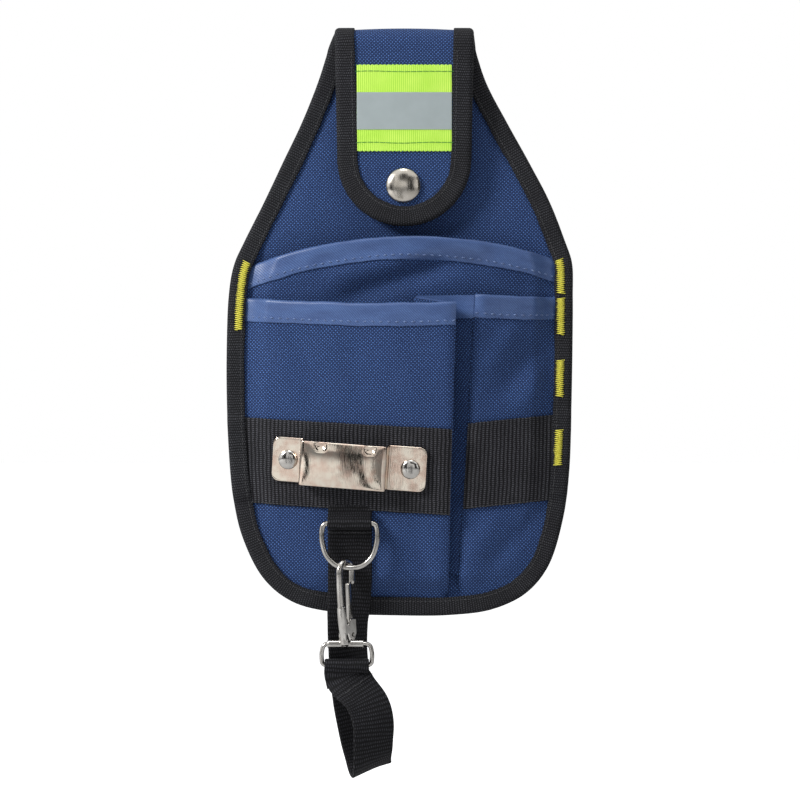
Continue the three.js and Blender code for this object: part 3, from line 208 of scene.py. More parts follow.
def lumps(x, z, size, seed):
    """Soft random swells from -1 to 1 over a surface, the same on each run."""
    table = np.random.default_rng(seed).uniform(-1, 1, (64, 64))
    x, z = np.asarray(x, float) / size + 17, np.asarray(z, float) / size + 17
    i, j = np.floor(x).astype(int), np.floor(z).astype(int)
    fx, fz = x - i, z - j
    fx, fz = fx * fx * (3 - 2 * fx), fz * fz * (3 - 2 * fz)
    at = lambda a, b: table[a % 64, b % 64]
    low = mix(at(i, j), at(i + 1, j), fx)
    return mix(low, mix(at(i, j + 1), at(i + 1, j + 1), fx), fz)


def creased(soft, x, z, folds):
    """The relief with a row of creases added to it."""
    for fold in folds:
        soft = soft + crease(x, z, *fold)
    return soft


def crease(x, z, start, end, wide, high):
    """A soft ridge, or a valley where high is below zero, between two places and faded at its ends."""
    a, b = np.array(start, float), np.array(end, float)
    d = b - a
    t = ((x - a[0]) * d[0] + (z - a[1]) * d[1]) / (d @ d)
    off = np.hypot(x - a[0] - t * d[0], z - a[1] - t * d[1])
    ends = ease(t, -0.15, 0.3) * ease(-t, -1.15, -0.7)
    return high * np.exp(-((off / wide) ** 2)) * ends


# The pouch outline and its surfaces

edge = Line(curved([(x * half_wide, -mix(hinge_drop, pouch_tall, d)) for x, d in edge_shares]))
low_run = (edge.share > 0.4) & (edge.share < 0.6)
middle = float(np.interp(0, edge.points[low_run, 0], edge.share[low_run]))
foot = (edge.share > middle * 0.8) & (edge.share < mix(middle, 1, 0.2))
left_half = edge.share <= middle
right_half = edge.share >= middle


def left_at(drop):
    return np.interp(drop, -edge.points[left_half, 1], edge.share[left_half])


def right_at(drop):
    return np.interp(-np.asarray(drop), edge.points[right_half, 1], edge.share[right_half])


def bottom_at(x):
    return np.interp(x, edge.points[foot, 0], edge.share[foot])


def edge_point(share, inset):
    p, t = edge.at(share), edge.slope(share)
    return p + np.stack([-t[..., 1], t[..., 0]], -1) * np.asarray(inset)[..., None]


def from_edge(x, z):
    """How far a place lies from the pouch's edge."""
    line = edge.at(np.linspace(0, 1, 220))
    x, z = np.asarray(x, float), np.asarray(z, float)
    least = np.full(x.shape, np.inf)
    for a, b in zip(line[:-1], line[1:]):
        d = b - a
        t = np.clip(((x - a[0]) * d[0] + (z - a[1]) * d[1]) / (d @ d), 0, 1)
        least = np.minimum(least, np.hypot(x - a[0] - t * d[0], z - a[1] - t * d[1]))
    return least


def off_seam(x, z):
    t = np.clip((from_edge(x, z) - seam_start + 1) / (seam_ramp + 2), 0, 1)
    return mix(t, t * t * (3 - 2 * t), 0.5)


def quilt(left, right, bottom, top):
    """A patch between four lines: u runs from left to right and v from bottom to top."""
    def place(u, v):
        u, v = alike(u, v)
        uu, vv = u[..., None], v[..., None]
        p = (1 - vv) * bottom(u) + vv * top(u) + (1 - uu) * left(v) + uu * right(v)
        zero, one = np.zeros_like(u), np.ones_like(u)
        p = p - (1 - uu) * (1 - vv) * bottom(zero) - uu * (1 - vv) * bottom(one)
        return p - (1 - uu) * vv * top(zero) - uu * vv * top(one)
    return place


def along_edge(start, end, inset):
    return lambda t: edge_point(mix(start, end, t), np.full(np.shape(t), inset))


def bowed(a, b, crown):
    a, b = np.array(a, float), np.array(b, float)

    def line(t):
        t = np.asarray(t, float)[..., None]
        return a + (b - a) * t + np.array([0, 4 * crown]) * t * (1 - t)
    return line


corner_drop = 0.925 * pouch_tall
left_corner, right_corner = float(left_at(corner_drop)), float(right_at(corner_drop))
back_left, back_right = float(left_at(back_hem_left)), float(right_at(back_hem_right))
back_patch = quilt(
    along_edge(left_corner, back_left, sheet_inset), along_edge(right_corner, back_right, sheet_inset),
    along_edge(left_corner, right_corner, sheet_inset),
    bowed(edge_point(back_left, sheet_inset), edge_point(back_right, sheet_inset), back_hem_crown))
back_mouth_z = -(back_hem_left + back_hem_right) / 2 + back_hem_crown
left_hem_edge, left_foot = float(left_at(left_hem_drop)), float(bottom_at(left_fold_foot_x))
left_patch = quilt(
    along_edge(left_corner, left_hem_edge, sheet_inset),
    bowed(edge_point(left_foot, sheet_inset), (left_fold_x, -left_fold_drop), 0),
    along_edge(left_corner, left_foot, sheet_inset),
    bowed(edge_point(left_hem_edge, sheet_inset), (left_fold_x, -left_fold_drop), -left_hem_sag))
right_hem_edge, right_foot = float(right_at(right_hem_drop)), float(bottom_at(right_fold_foot_x))
right_patch = quilt(
    bowed(edge_point(right_foot, sheet_inset), (right_fold_x, -right_hem_drop), 0),
    along_edge(right_corner, right_hem_edge, sheet_inset),
    along_edge(right_foot, right_corner, sheet_inset),
    bowed((right_fold_x, -right_hem_drop), edge_point(right_hem_edge, sheet_inset), -right_hem_sag))


def back_swell(x, z):
    across = np.maximum(0, 1 - (x / half_wide) ** 2)
    height = np.clip((z + pouch_tall) / (back_mouth_z + pouch_tall), 0, 1)
    return back_mouth_deep * across * height ** 2.2 * off_seam(x, z)


def front_swell(across, height, stack, mouth):
    bulge = across * (1 + 0.35 * (1 - across))
    return bulge * (stack + (mouth - stack) * (1 - np.clip(1 - height, 0, 1) ** 1.8))


def back_surface(u, v):
    p = back_patch(u, v)
    return p[..., 0], p[..., 1], back_seat + back_swell(p[..., 0], p[..., 1])


def left_surface(u, v):
    p = left_patch(u, v)
    x, z = p[..., 0], p[..., 1]
    own = front_swell(u, v, left_stack_deep, left_mouth_deep) * off_seam(x, z)
    return x, z, front_seat + back_swell(x, z) + own


def right_surface(u, v):
    p = right_patch(u, v)
    x, z = p[..., 0], p[..., 1]
    own = front_swell(1 - u, v, right_stack_deep, right_mouth_deep) * off_seam(x, z)
    return x, z, front_seat + back_swell(x, z) + own


def near(surface, x, z):
    """The shares at which a pocket surface passes through a place seen from the front."""
    u = v = 0.5
    step = 1e-3
    for _ in range(30):
        px, pz, _ = surface(u, v)
        ax, _, _ = surface(u + step, v)
        _, uz, _ = surface(u, v + step)
        u += float((x - px) / (ax - px)) * step
        v += float((z - pz) / (uz - pz)) * step
    return u, v


def seated(surface, x, z, proud=0.0):
    u, v = near(surface, x, z)
    return np.array([x, -(float(surface(u, v)[2]) + proud), z])


# The lining and the flap are one shell: s runs up from the hinge line, over the fold and down the front,
# and is below zero on the pouch itself.
def shell(x, s, proud):
    x, s, proud = alike(x, s, proud)
    turn = np.clip(s - rise_long, 0, arc_long) / fold_radius
    rest = np.maximum(0, s - rise_long - arc_long)
    reach = fold_radius + proud
    up = s <= rise_long
    y = np.where(up, proud, -fold_radius + reach * np.cos(turn) + rest * math.sin(flap_lean))
    over = fold_centre_z + reach * np.sin(turn) - rest * math.cos(flap_lean)
    z = np.where(up, s - hinge_drop + clear, over)
    return np.stack([x, y, z], -1)


def flap_at(drop):
    return rise_long + arc_long + (drop + fold_centre_z) / math.cos(flap_lean)


def flap_half(s):
    s = np.asarray(s, float)
    side = mix(flap_half_top, flap_half_foot, np.minimum(s, tip_centre) / tip_centre)
    tip = np.sqrt(np.maximum(0, flap_half_foot ** 2 - np.maximum(0, s - tip_centre) ** 2))
    return np.where(s > tip_centre, tip, side)


def flap_puff(x, s):
    """How the soft flap stands up between its bindings and sinks round the snap."""
    half = np.maximum(flap_half(s), 1)
    across = np.clip(1 - ((x - flap_centre_x) / half) ** 2, 0, 1)
    down = ease(s, arc_top, arc_top + 20) * ease(-s, -flap_long + 4, -flap_long + 22)
    away = np.hypot(x - snap_x, s - flap_at(snap_drop))
    dimple = -0.5 * np.exp(-((away / 10) ** 2))
    return (0.45 * across * down + 0.14 * lumps(x, s, 13, 3) * down * across + dimple) * down


# Meshes

def new_object(name, data):
    """Puts a mesh, a lamp or a camera into the scene."""
    made = bpy.data.objects.new(name, data)
    bpy.context.scene.collection.objects.link(made)
    return made


def signed_volume(points, faces):
    total = 0.0
    for f in faces:
        a = points[f[0]]
        for b, c in zip(f[1:-1], f[2:]):
            total += np.dot(a, np.cross(points[b], points[c]))
    return total


def make_mesh(name, points, faces, uvs, sharp=38):
    """A closed body from points in millimetres, its faces turned outwards."""
    points = np.asarray(points, float)
    quads = np.array([f for f in faces if len(f) == 4])
    a, b, c, d = (points[quads[:, k]] for k in range(4))
    volume = (np.einsum("ij,ij->i", a, np.cross(b, c)) + np.einsum("ij,ij->i", a, np.cross(c, d))).sum()
    volume += signed_volume(points, [f for f in faces if len(f) != 4])
    if volume < 0:
        faces = [f[::-1] for f in faces]
        uvs = [u[::-1] for u in uvs]
    mesh = bpy.data.meshes.new(name)
    mesh.from_pydata((points * MM).tolist(), [], faces)
    layer = mesh.uv_layers.new(name="cloth")
    places = np.concatenate([np.asarray(u, float) for u in uvs])
    layer.data.foreach_set("uv", places.ravel().astype(np.float32))
    mesh.update()
    mesh.shade_smooth()
    mesh.set_sharp_from_angle(angle=math.radians(sharp))
    return new_object(name, mesh)


def grid_uv(across, along):
    """Cloth places for rings that lie side by side: the same places across, and one along for each ring."""
    return np.stack([np.stack([across, np.full(len(across), v)], -1) for v in along])


def skin(name, rings, uv, ends="strip", sharp=38):
    """A body skinned over closed rings of points. Its ends are closed by a strip, by a flat cap, or by
    meeting each other in a loop."""
    rings, uv = np.asarray(rings, float), np.asarray(uv, float)
    rows, around = rings.shape[:2]
    if uv.shape[1] == around:
        uv = np.concatenate([uv, uv[:, :1]], 1)
    if ends == "loop" and uv.shape[0] == rows:
        uv = np.concatenate([uv, uv[:1] + [0, uv[1, 0, 1] - uv[0, 0, 1]]], 0)
    i, j = np.meshgrid(np.arange(rows if ends == "loop" else rows - 1), np.arange(around), indexing="ij")
    at = lambda a, b: (a % rows) * around + b % around
    quads = np.stack([at(i, j), at(i, j + 1), at(i + 1, j + 1), at(i + 1, j)], -1).reshape(-1, 4)
    loops = np.stack([uv[i, j], uv[i, j + 1], uv[i + 1, j + 1], uv[i + 1, j]], -2).reshape(-1, 4, 2)
    faces, uvs = quads.tolist(), list(loops)
    for row, back in ((0, True), (rows - 1, False)):
        if ends == "loop":
            break
        if ends == "strip":
            caps = [[k, k + 1, around - 2 - k, around - 1 - k] for k in range(around // 2 - 1)]
        else:
            caps = [list(range(around))]
        for cap in caps:
            cap = cap[::-1] if back else cap
            faces.append([row * around + k for k in cap])
            uvs.append(uv[row, cap])
    return make_mesh(name, rings.reshape(-1, 3), faces, uvs, sharp)


def strip_section(wide, low, high, step=1.2, round_share=1.0):
    """Places across a flat strip with rounded edges, and how high its two faces lie there."""
    half = (high - low) / 2
    soft = min(half * 1.3 * round_share, wide / 2.2)
    edge_run = soft * np.array([0, 0.12, 0.35, 0.7])
    count = max(2, int(round((wide - 2 * soft) / step)))
    a = np.concatenate([edge_run, np.linspace(soft, wide - soft, count), (wide - edge_run)[::-1]])
    near_edge = np.clip(np.minimum(a, wide - a) / soft, 0, 1)
    rise = half * (0.3 + 0.7 * np.sqrt(1 - (1 - near_edge) ** 2))
    mid = (low + high) / 2
    return a, mid + rise, mid - rise


def ribbon(name, stations, wide, low, high, place, along, step=1.2, sharp=38):
    """A flat strip laid along stations: place(station, across, proud) gives its points, along its length."""
    a, top, bottom = strip_section(wide, low, high, step)
    across, proud = both_faces(a, a), both_faces(top, bottom)
    rings = np.stack([place(s, across, proud) for s in stations])
    return skin(name, rings, grid_uv(across, along), "strip", sharp)


def wire(name, line, thick, step, sides=14, closed=False):
    """A round wire along a line, with frames that don't twist."""
    shares = line.evenly(step)
    shares = shares[:-1] if closed else shares
    points, slopes = line.at(shares), line.slope(shares)
    side = unit(np.cross(slopes[0], [0.13, 0.97, 0.21]))
    radii = np.broadcast_to(np.asarray(thick, float) / 2, (len(points),))
    rings = []
    turn = np.linspace(0, 2 * math.pi, sides, endpoint=False)[:, None]
    for p, t, r in zip(points, slopes, radii):
        side = unit(side - t * (side @ t))
        up = np.cross(t, side)
        rings.append(p + r * (np.cos(turn) * side + np.sin(turn) * up))
    uv = grid_uv(np.linspace(0, math.pi * float(np.max(thick)), sides + 1), shares * line.long)
    return skin(name, rings, uv, "loop" if closed else "round", 50)


def turned(name, profile, place, sides=40):
    """A turned piece about the depth axis from pairs of radius and depth. place puts its points."""
    profile = np.array([(max(r, 0.02), d) for r, d in profile], float)
    turn = np.linspace(0, 2 * math.pi, sides, endpoint=False)
    rings = np.stack([place(np.stack([r * np.cos(turn), np.full(sides, -d), r * np.sin(turn)], -1))
                      for r, d in profile])
    run = np.concatenate([[0], np.cumsum(np.linalg.norm(np.diff(profile, axis=0), axis=1))])
    return skin(name, rings, grid_uv(np.linspace(0, 6, sides + 1), run), "round", 34)


def lathe_loop(name, profile, place, sides=40):
    """A turned piece with a bore: its outline closes on itself."""
    profile = np.array(profile, float)
    radius, depth = profile.T
    turn = np.linspace(0, 2 * math.pi, sides, endpoint=False)
    rings = np.stack([place(np.stack([radius * math.cos(t), -depth, radius * math.sin(t)], -1))
                      for t in turn])
    return skin(name, rings, grid_uv(np.linspace(0, 8, len(profile) + 1), turn * 4), "loop", 34)


def flat_ring(inner, outer, low, high):
    """The outline of a flat ring with softened edges."""
    soft = min(0.2, (high - low) / 3)
    return [(inner, low + soft), (inner, high - soft), (inner + soft, high), (outer - soft, high),
            (outer, high - soft), (outer, low + soft), (outer - soft, low), (inner + soft, low)]


def rounded(profile, radius, steps=4):
    """The outline of a turned piece with its inner corners rounded."""
    p = np.array(profile, float)
    out = [p[0]]
    for a, b, c in zip(p[:-2], p[1:-1], p[2:]):
        r = min(radius, np.linalg.norm(a - b) / 2.2, np.linalg.norm(c - b) / 2.2)
        start, end = b + unit(a - b) * r, b + unit(c - b) * r
        for t in np.linspace(0, 1, steps):
            out.append((1 - t) ** 2 * start + 2 * t * (1 - t) * b + t * t * end)
    return out + [p[-1]]


def baked(piece):
    """The piece with its modifiers worked into its mesh."""
    graph = bpy.context.evaluated_depsgraph_get()
    graph.update()
    mesh = bpy.data.meshes.new_from_object(piece.evaluated_get(graph), depsgraph=graph)
    piece.modifiers.clear()
    piece.data = mesh
    return piece


def fit(piece, finish, body, slot, *nodes):
    """Gives a piece its material, the body it rides on, and the CAD nodes it stands for."""
    piece.data.materials.clear()
    piece.data.materials.append(finish)
    if nodes:
        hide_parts(*nodes)
    if body:
        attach(piece, body)
    return piece


# Finishes

def ink(red, green, blue):
    """A colour as it is seen, from 0 to 255, as the linear one that a shader takes."""
    shares = (red / 255, green / 255, blue / 255)
    linear = [c / 12.92 if c <= 0.04045 else ((c + 0.055) / 1.055) ** 2.4 for c in shares]
    return (*linear, 1.0)


class Nodes:
    """A node tree that is put together node by node."""

    def add(self, kind, inputs=None, **settings):
        """Links an input that is given a socket, and sets one that is given a value."""
        made = self.tree.nodes.new(kind)
        for key, value in settings.items():
            setattr(made, key, value)
        for key, value in (inputs or {}).items():
            if isinstance(value, bpy.types.NodeSocket):
                self.tree.links.new(value, made.inputs[key])
            else:
                made.inputs[key].default_value = value
        return made

    def do(self, operation, *values):
        return self.add("ShaderNodeMath", dict(enumerate(values)), operation=operation).outputs[0]

    def scaled(self, vector, by):
        return self.add("ShaderNodeVectorMath", {0: vector, 3: by}, operation="SCALE").outputs[0]


class Finish(Nodes):
    """A procedural material."""

    def __init__(self, name, **sockets):
        self.material = bpy.data.materials.new(name)
        self.material.use_nodes = True
        self.tree = self.material.node_tree
        self.shader = self.tree.nodes["Principled BSDF"]
        for key, value in sockets.items():
            self.shader.inputs[key.replace("_", " ")].default_value = value

    def node(self, kind, inputs, **settings):
        return self.add("ShaderNode" + kind, inputs, **settings)

    def mixed(self, share, low, high):
        return self.node("Mix", {0: share, 6: low, 7: high}, data_type="RGBA").outputs[2]

    def cloth_axes(self):
        """Across and along the piece's own cloth, in millimetres."""
        uv = self.node("UVMap", {}, uv_map="cloth").outputs[0]
        split = self.node("SeparateXYZ", {0: uv})
        return uv, split.outputs[0], split.outputs[1]

    def place(self):
        """The place on the object, in millimetres."""
        return self.scaled(self.node("TexCoord", {}).outputs["Object"], 1 / MM)

    def cloudy(self, vector, size, detail=2.0):
        return self.node("TexNoise", {"Vector": vector, "Scale": 1 / size, "Detail": detail}).outputs[0]

    def ramp(self, value, low, high):
        return self.node("MapRange", {0: value, 1: low, 2: high, 3: 0.0, 4: 1.0}).outputs[0]

    def hump(self, value, pitch, shift=None):
        """A row of rounded humps from 0 to 1 at a pitch."""
        turns = self.do("DIVIDE", value, pitch)
        if shift is not None:
            turns = self.do("ADD", turns, shift)
        return self.do("ABSOLUTE", self.do("SINE", self.do("MULTIPLY", turns, math.pi)))

    def use(self, socket, value):
        self.tree.links.new(value, self.shader.inputs[socket])

    def relief(self, height, strength, deep_mm):
        bump = self.node("Bump", {"Strength": strength, "Distance": deep_mm * MM, "Height": height})
        self.use("Normal", bump.outputs[0])


def oxford_cloth(name, dark, light, pitch=0.9, glint=0.6):
    """Plain woven cloth: a tight grid of small raised dots, each thread a little different, with a painted
    highlight on each dot and painted shade in the gaps between them.
    """
    f = Finish(name, Roughness=0.82, Sheen_Weight=0.12, Sheen_Roughness=0.45, Specular_IOR_Level=0.3)
    f.shader.inputs["Sheen Tint"].default_value = (0.55, 0.68, 1.0, 1.0)
    uv, across, along = f.cloth_axes()
    drift = f.do("MULTIPLY", f.cloudy(uv, 11.0), 1.6)
    across, along = f.do("ADD", across, drift), f.do("ADD", along, drift)
    warp, weft = f.hump(across, pitch), f.hump(along, pitch)
    odd = f.do("PINGPONG", f.do("ADD", f.do("FLOOR", f.do("DIVIDE", across, pitch)),
                                f.do("FLOOR", f.do("DIVIDE", along, pitch))), 1.0)
    dots = f.do("MULTIPLY", f.do("MULTIPLY", warp, weft), f.do("MULTIPLY_ADD", odd, 0.78, 0.22))
    slub = f.ramp(f.cloudy(uv, 0.7, 1.0), 0.3, 0.75)
    # lit lightens the raised dots: a painted highlight on each crossing, over painted shade in the gaps.
    lit = f.do("MULTIPLY", dots, f.do("MULTIPLY_ADD", slub, glint, 1 - glint))
    broad = f.ramp(f.cloudy(uv, 24.0, 3.0), 0.25, 0.75)
    shade = f.mixed(broad, tuple(c * 0.86 for c in dark[:3]) + (1.0,), dark)
    f.use("Base Color", f.mixed(lit, shade, light))
    f.use("Roughness", f.do("MULTIPLY_ADD", slub, -0.14, 0.88))
    f.relief(dots, 0.55, 0.16)
    return f.material


def woven_tape(name, dark, light, row, dash, glint=0.7, slant=0.0, rough=0.78, solid=0.0):
    """Webbing: rows of short dashes straight across it, each row half a dash on from the last, each dash
    lighter as a painted highlight and the gaps darker as painted shade.
    """
    f = Finish(name, Roughness=rough, Specular_IOR_Level=0.18)
    uv, across, along = f.cloth_axes()
    along = f.do("ADD", along, f.do("MULTIPLY", f.cloudy(uv, 6.0), 0.9))
    turns = f.do("DIVIDE", along, row)
    step = f.do("PINGPONG", f.do("FLOOR", turns), 1.0)
    lean = f.do("MULTIPLY", f.do("FRACT", turns), f.do("MULTIPLY_ADD", step, 2 * slant, -slant))
    dashes = f.hump(across, dash, f.do("ADD", f.do("MULTIPLY", step, 0.5), lean))
    dashes = f.do("MULTIPLY_ADD", dashes, 1 - solid, solid)
    ridge = f.do("POWER", f.hump(along, row), 0.8)
    weave = f.do("MULTIPLY", ridge, dashes)
    speck = f.ramp(f.cloudy(uv, 0.55, 1.0), 0.36, 0.7)
    # lit is the painted highlight on the dashes' crowns, flecked by speck and dimmed in broad patches below;
    # the dark colour between them is painted shade.
    lit = f.do("MULTIPLY", f.do("POWER", weave, 2.2), f.do("MULTIPLY_ADD", speck, glint, 1 - glint))
    broad = f.ramp(f.cloudy(uv, 18.0), 0.3, 0.7)
    patchy_highlight = f.do("MULTIPLY", lit, f.do("MULTIPLY_ADD", broad, 0.4, 0.6))
    f.use("Base Color", f.mixed(patchy_highlight, dark, light))
    f.use("Roughness", f.do("MULTIPLY_ADD", speck, -0.18, rough))
    f.relief(weave, 0.7, 0.25)
    return f.material


def satin_tape(name, dark, light):
    """Smooth hem tape: fine slanted threads with a painted highlight, a soft shine, and a few drawn streaks of
    painted sheen.
    """
    f = Finish(name, Roughness=0.4, Specular_IOR_Level=0.45, Sheen_Weight=0.06, Sheen_Roughness=0.3)
    f.shader.inputs["Sheen Tint"].default_value = (0.7, 0.8, 1.0, 1.0)
    uv, across, along = f.cloth_axes()
    threads = f.hump(f.do("ADD", across, along), 1.1)
    speck = f.ramp(f.cloudy(uv, 0.5, 1.0), 0.35, 0.7)
    drawn = f.node("Mapping", {0: uv, 3: (0.16, 0.5, 1.0)}).outputs[0]
    sheen_streak = f.ramp(f.cloudy(drawn, 2.2, 2.0), 0.3, 0.72)
    # fine and lit lighten the threads and the streaks: a painted highlight on the threads and painted sheen in
    # the streaks.
    fine = f.do("MULTIPLY", f.do("MULTIPLY_ADD", threads, 0.75, 0.25), f.do("MULTIPLY_ADD", speck, 0.4, 0.6))
    lit = f.do("MULTIPLY", fine, f.do("MULTIPLY_ADD", sheen_streak, 0.45, 0.55))
    f.use("Base Color", f.mixed(lit, dark, light))
    f.use("Roughness", f.do("MULTIPLY_ADD", sheen_streak, -0.1, 0.42))
    f.relief(f.do("ADD", threads, sheen_streak), 0.4, 0.09)
    return f.material


def ribbed_tape(name, dark, light):
    """High-visibility tape: fine upright ribs with a painted highlight on each, and a slightly faded bloom."""
    f = Finish(name, Roughness=0.6, Specular_IOR_Level=0.35)
    uv, across, along = f.cloth_axes()
    ribs = f.hump(f.do("ADD", across, f.do("MULTIPLY", f.cloudy(uv, 8.0), 0.5)), 0.9)
    cross = f.hump(along, 0.5)
    broad = f.ramp(f.cloudy(uv, 14.0, 3.0), 0.3, 0.7)
    # lit lightens the rib crowns: a painted highlight, faded in broad patches.
    lit = f.do("MULTIPLY", f.do("POWER", ribs, 0.7), f.do("MULTIPLY_ADD", broad, 0.4, 0.6))
    f.use("Base Color", f.mixed(lit, dark, light))
    f.relief(f.do("MULTIPLY_ADD", cross, 0.3, ribs), 0.5, 0.14)
    return f.material


def glass_bead_strip(name, colour):
    """Grey retroreflective strip: very fine beads and a few faint handling marks."""
    f = Finish(name, Roughness=0.42, Metallic=0.25, Specular_IOR_Level=0.6)
    uv, _, _ = f.cloth_axes()
    beads = f.cloudy(uv, 0.18, 1.0)
    marks = f.ramp(f.cloudy(uv, 9.0, 4.0), 0.3, 0.75)
    dull = tuple(c * 0.84 for c in colour[:3]) + (1.0,)
    f.use("Base Color", f.mixed(f.do("MULTIPLY_ADD", beads, 0.4, f.do("MULTIPLY", marks, 0.6)), dull, colour))
    f.use("Roughness", f.do("MULTIPLY_ADD", marks, -0.12, 0.48))
    f.relief(beads, 0.25, 0.04)
    return f.material


def sewing_thread(name, dark, light):
    """Twisted thread with a slight gloss."""
    f = Finish(name, Roughness=0.5, Specular_IOR_Level=0.45, Sheen_Weight=0.15)
    here = f.place()
    twist = f.ramp(f.cloudy(here, 0.35, 2.0), 0.35, 0.7)
    f.use("Base Color", f.mixed(twist, dark, light))
    f.relief(twist, 0.4, 0.08)
    return f.material


def worn_metal(name, colour, dull, rough, wave=0.0, scratch=0.1):
    """Plated metal: faint tarnish, hair scratches and, in pressed sheet, waves that bend its reflections. On
    the pressed steel the dull clouds are a painted warm reflection.
    """
    f = Finish(name, Metallic=1.0, Roughness=rough)
    here = f.place()
    stretch = f.node("Mapping", {0: here, 3: (1.6, 1.0, 0.12)}).outputs[0]
    hair = f.ramp(f.cloudy(stretch, 0.5, 3.0), 0.42, 0.7)
    # cloud mixes in the dull colour: faint tarnish on the nickel and the pewter, a painted warm reflection on
    # the pressed steel.
    cloud = f.ramp(f.cloudy(here, 4.0, 2.0), 0.35, 0.65)
    f.use("Base Color", f.mixed(f.do("MULTIPLY_ADD", cloud, 0.9, f.do("MULTIPLY", hair, 0.1)), dull, colour))
    f.use("Roughness", f.do("MULTIPLY_ADD", hair, scratch, f.do("MULTIPLY_ADD", cloud, -0.05, rough)))
    waves = f.do("MULTIPLY", f.cloudy(here, 8.0, 0.0), wave)
    f.relief(f.do("MULTIPLY_ADD", hair, 0.002, waves), 1.0, 1.0)
    return f.material


# The lighter colour of the two navy cloths is the painted highlight on their woven dots, and the darker one the
# painted shade between them.
navy = oxford_cloth("navy_oxford", ink(11, 25, 62), ink(96, 142, 218), pitch=0.78)
navy_lining = oxford_cloth("navy_lining", ink(16, 26, 58), ink(56, 80, 134), pitch=1.0)
# The hem tape's lighter colour is its painted thread highlight and painted sheen.
hem_satin = satin_tape("slate_hem_tape", ink(30, 50, 98), ink(96, 126, 180))
# The webbings' lighter colour is the painted highlight on their woven dashes, and the darker one the painted
# shade between them.
grosgrain = woven_tape("black_grosgrain", ink(11, 11, 14), ink(84, 85, 90), row=1.15, dash=0.95, glint=0.6,
                       rough=0.85, solid=0.35)
band_webbing = woven_tape("black_band_webbing", ink(8, 8, 11), ink(104, 104, 111), row=1.75, dash=0.9,
                          glint=0.5, slant=0.5, solid=0.1)
strap_webbing = woven_tape("black_strap_webbing", ink(6, 6, 8), ink(72, 72, 78), row=1.7, dash=1.05,
                           glint=0.6, slant=0.2)
# The lime tape's lighter colour is the painted highlight on its ribs.
lime_tape = ribbed_tape("lime_tape", ink(150, 222, 26), ink(220, 255, 112))
silver_strip = glass_bead_strip("silver_strip", ink(176, 187, 188))
yellow_thread = sewing_thread("yellow_thread", ink(190, 178, 34), ink(255, 250, 100))
navy_thread = sewing_thread("navy_thread", ink(40, 60, 112), ink(136, 162, 208))
black_thread = sewing_thread("black_thread", ink(12, 12, 14), ink(76, 76, 80))
green_thread = sewing_thread("green_thread", ink(30, 110, 34), ink(80, 168, 56))
# The pressed steel's pink dull colour is a painted warm reflection, laid in clouds across the plate.
clip_steel = worn_metal("pressed_steel", ink(222, 213, 198), ink(208, 184, 168), rough=0.09, wave=0.12,
                        scratch=0.06)
cap_pewter = worn_metal("pewter_snap", ink(202, 196, 187), ink(184, 177, 166), rough=0.21, wave=0.05)
nickel = worn_metal("satin_nickel", ink(200, 197, 192), ink(176, 172, 167), rough=0.17, wave=0.05)


# Camera, light and floor

# Sizes and places in this section are in metres. The camera looks straight at the pouch's front.
camera_far, seen_tall, sensor_wide = 0.95, 0.354, 36
camera_x, camera_z, pouch_face = -0.0009, -0.1617, 0.012
pouch_middle = (0, 0, -0.16)
lamp_target = (0, 0, -0.15)

# The strength of the world on cloth, and of the white that the camera, metal and glass see.
room_strength, white_strength = 0.23, 1.0

# Lamps: power, size and place.
lamps = {
    "key": (15.0, 0.4, (-0.95, -0.7, 0.5)),
    "fill": (1.0, 0.7, (0.8, -0.8, 0.05)),
    "top": (2.0, 0.4, (0.0, -0.3, 0.85)),
}

# Flags that face the pouch: place, width, height and grey.
flags = {
    "left_flag": ((-0.74, -0.98, -0.15), 0.46, 1.5, 0.02),
    "right_flag": ((0.62, -1.12, -0.15), 0.9, 1.5, 0.016),
    "side_flag": ((1.0, -0.2, -0.15), 1.0, 1.5, 0.03),
    "high_flag": ((0.0, -1.1, 0.42), 0.5, 0.5, 0.03),
    "low_flag": ((0.0, -1.1, -0.62), 0.5, 0.3, 0.16),
}

# Slats that lean towards the camera from a low foot: the foot's two ends, the top's two ends, its height, and
# the grey. The clip shows them as narrow dark lines.
slat_foot_y, slat_foot_z, slat_top_y = -0.3, -0.36, -0.515
slats = {
    "far_slat": (-0.190, -0.168, -0.308, -0.266, 0.25, 0.02),
    "middle_slat": (-0.109, -0.089, -0.174, -0.148, -0.02, 0.05),
    "thin_slat": (-0.064, -0.058, -0.105, -0.096, -0.1, 0.03),
    "grey_slat": (-0.055, -0.012, -0.09, -0.018, -0.12, 0.4),
}

floor_reach, floor_z = 6.0, -0.365
corner_signs = ((-1, -1), (1, -1), (1, 1), (-1, 1))


def add_camera():
    lens = bpy.data.cameras.new("camera")
    lens.sensor_width = sensor_wide
    lens.lens = sensor_wide * camera_far / seen_tall
    camera = new_object("camera", lens)
    camera.location = (camera_x, -camera_far - pouch_face, camera_z)
    camera.rotation_euler = (math.radians(90), 0, 0)
    bpy.context.scene.camera = camera


def towards(place, target):
    return (Vector(target) - Vector(place)).to_track_quat("-Z", "Y")


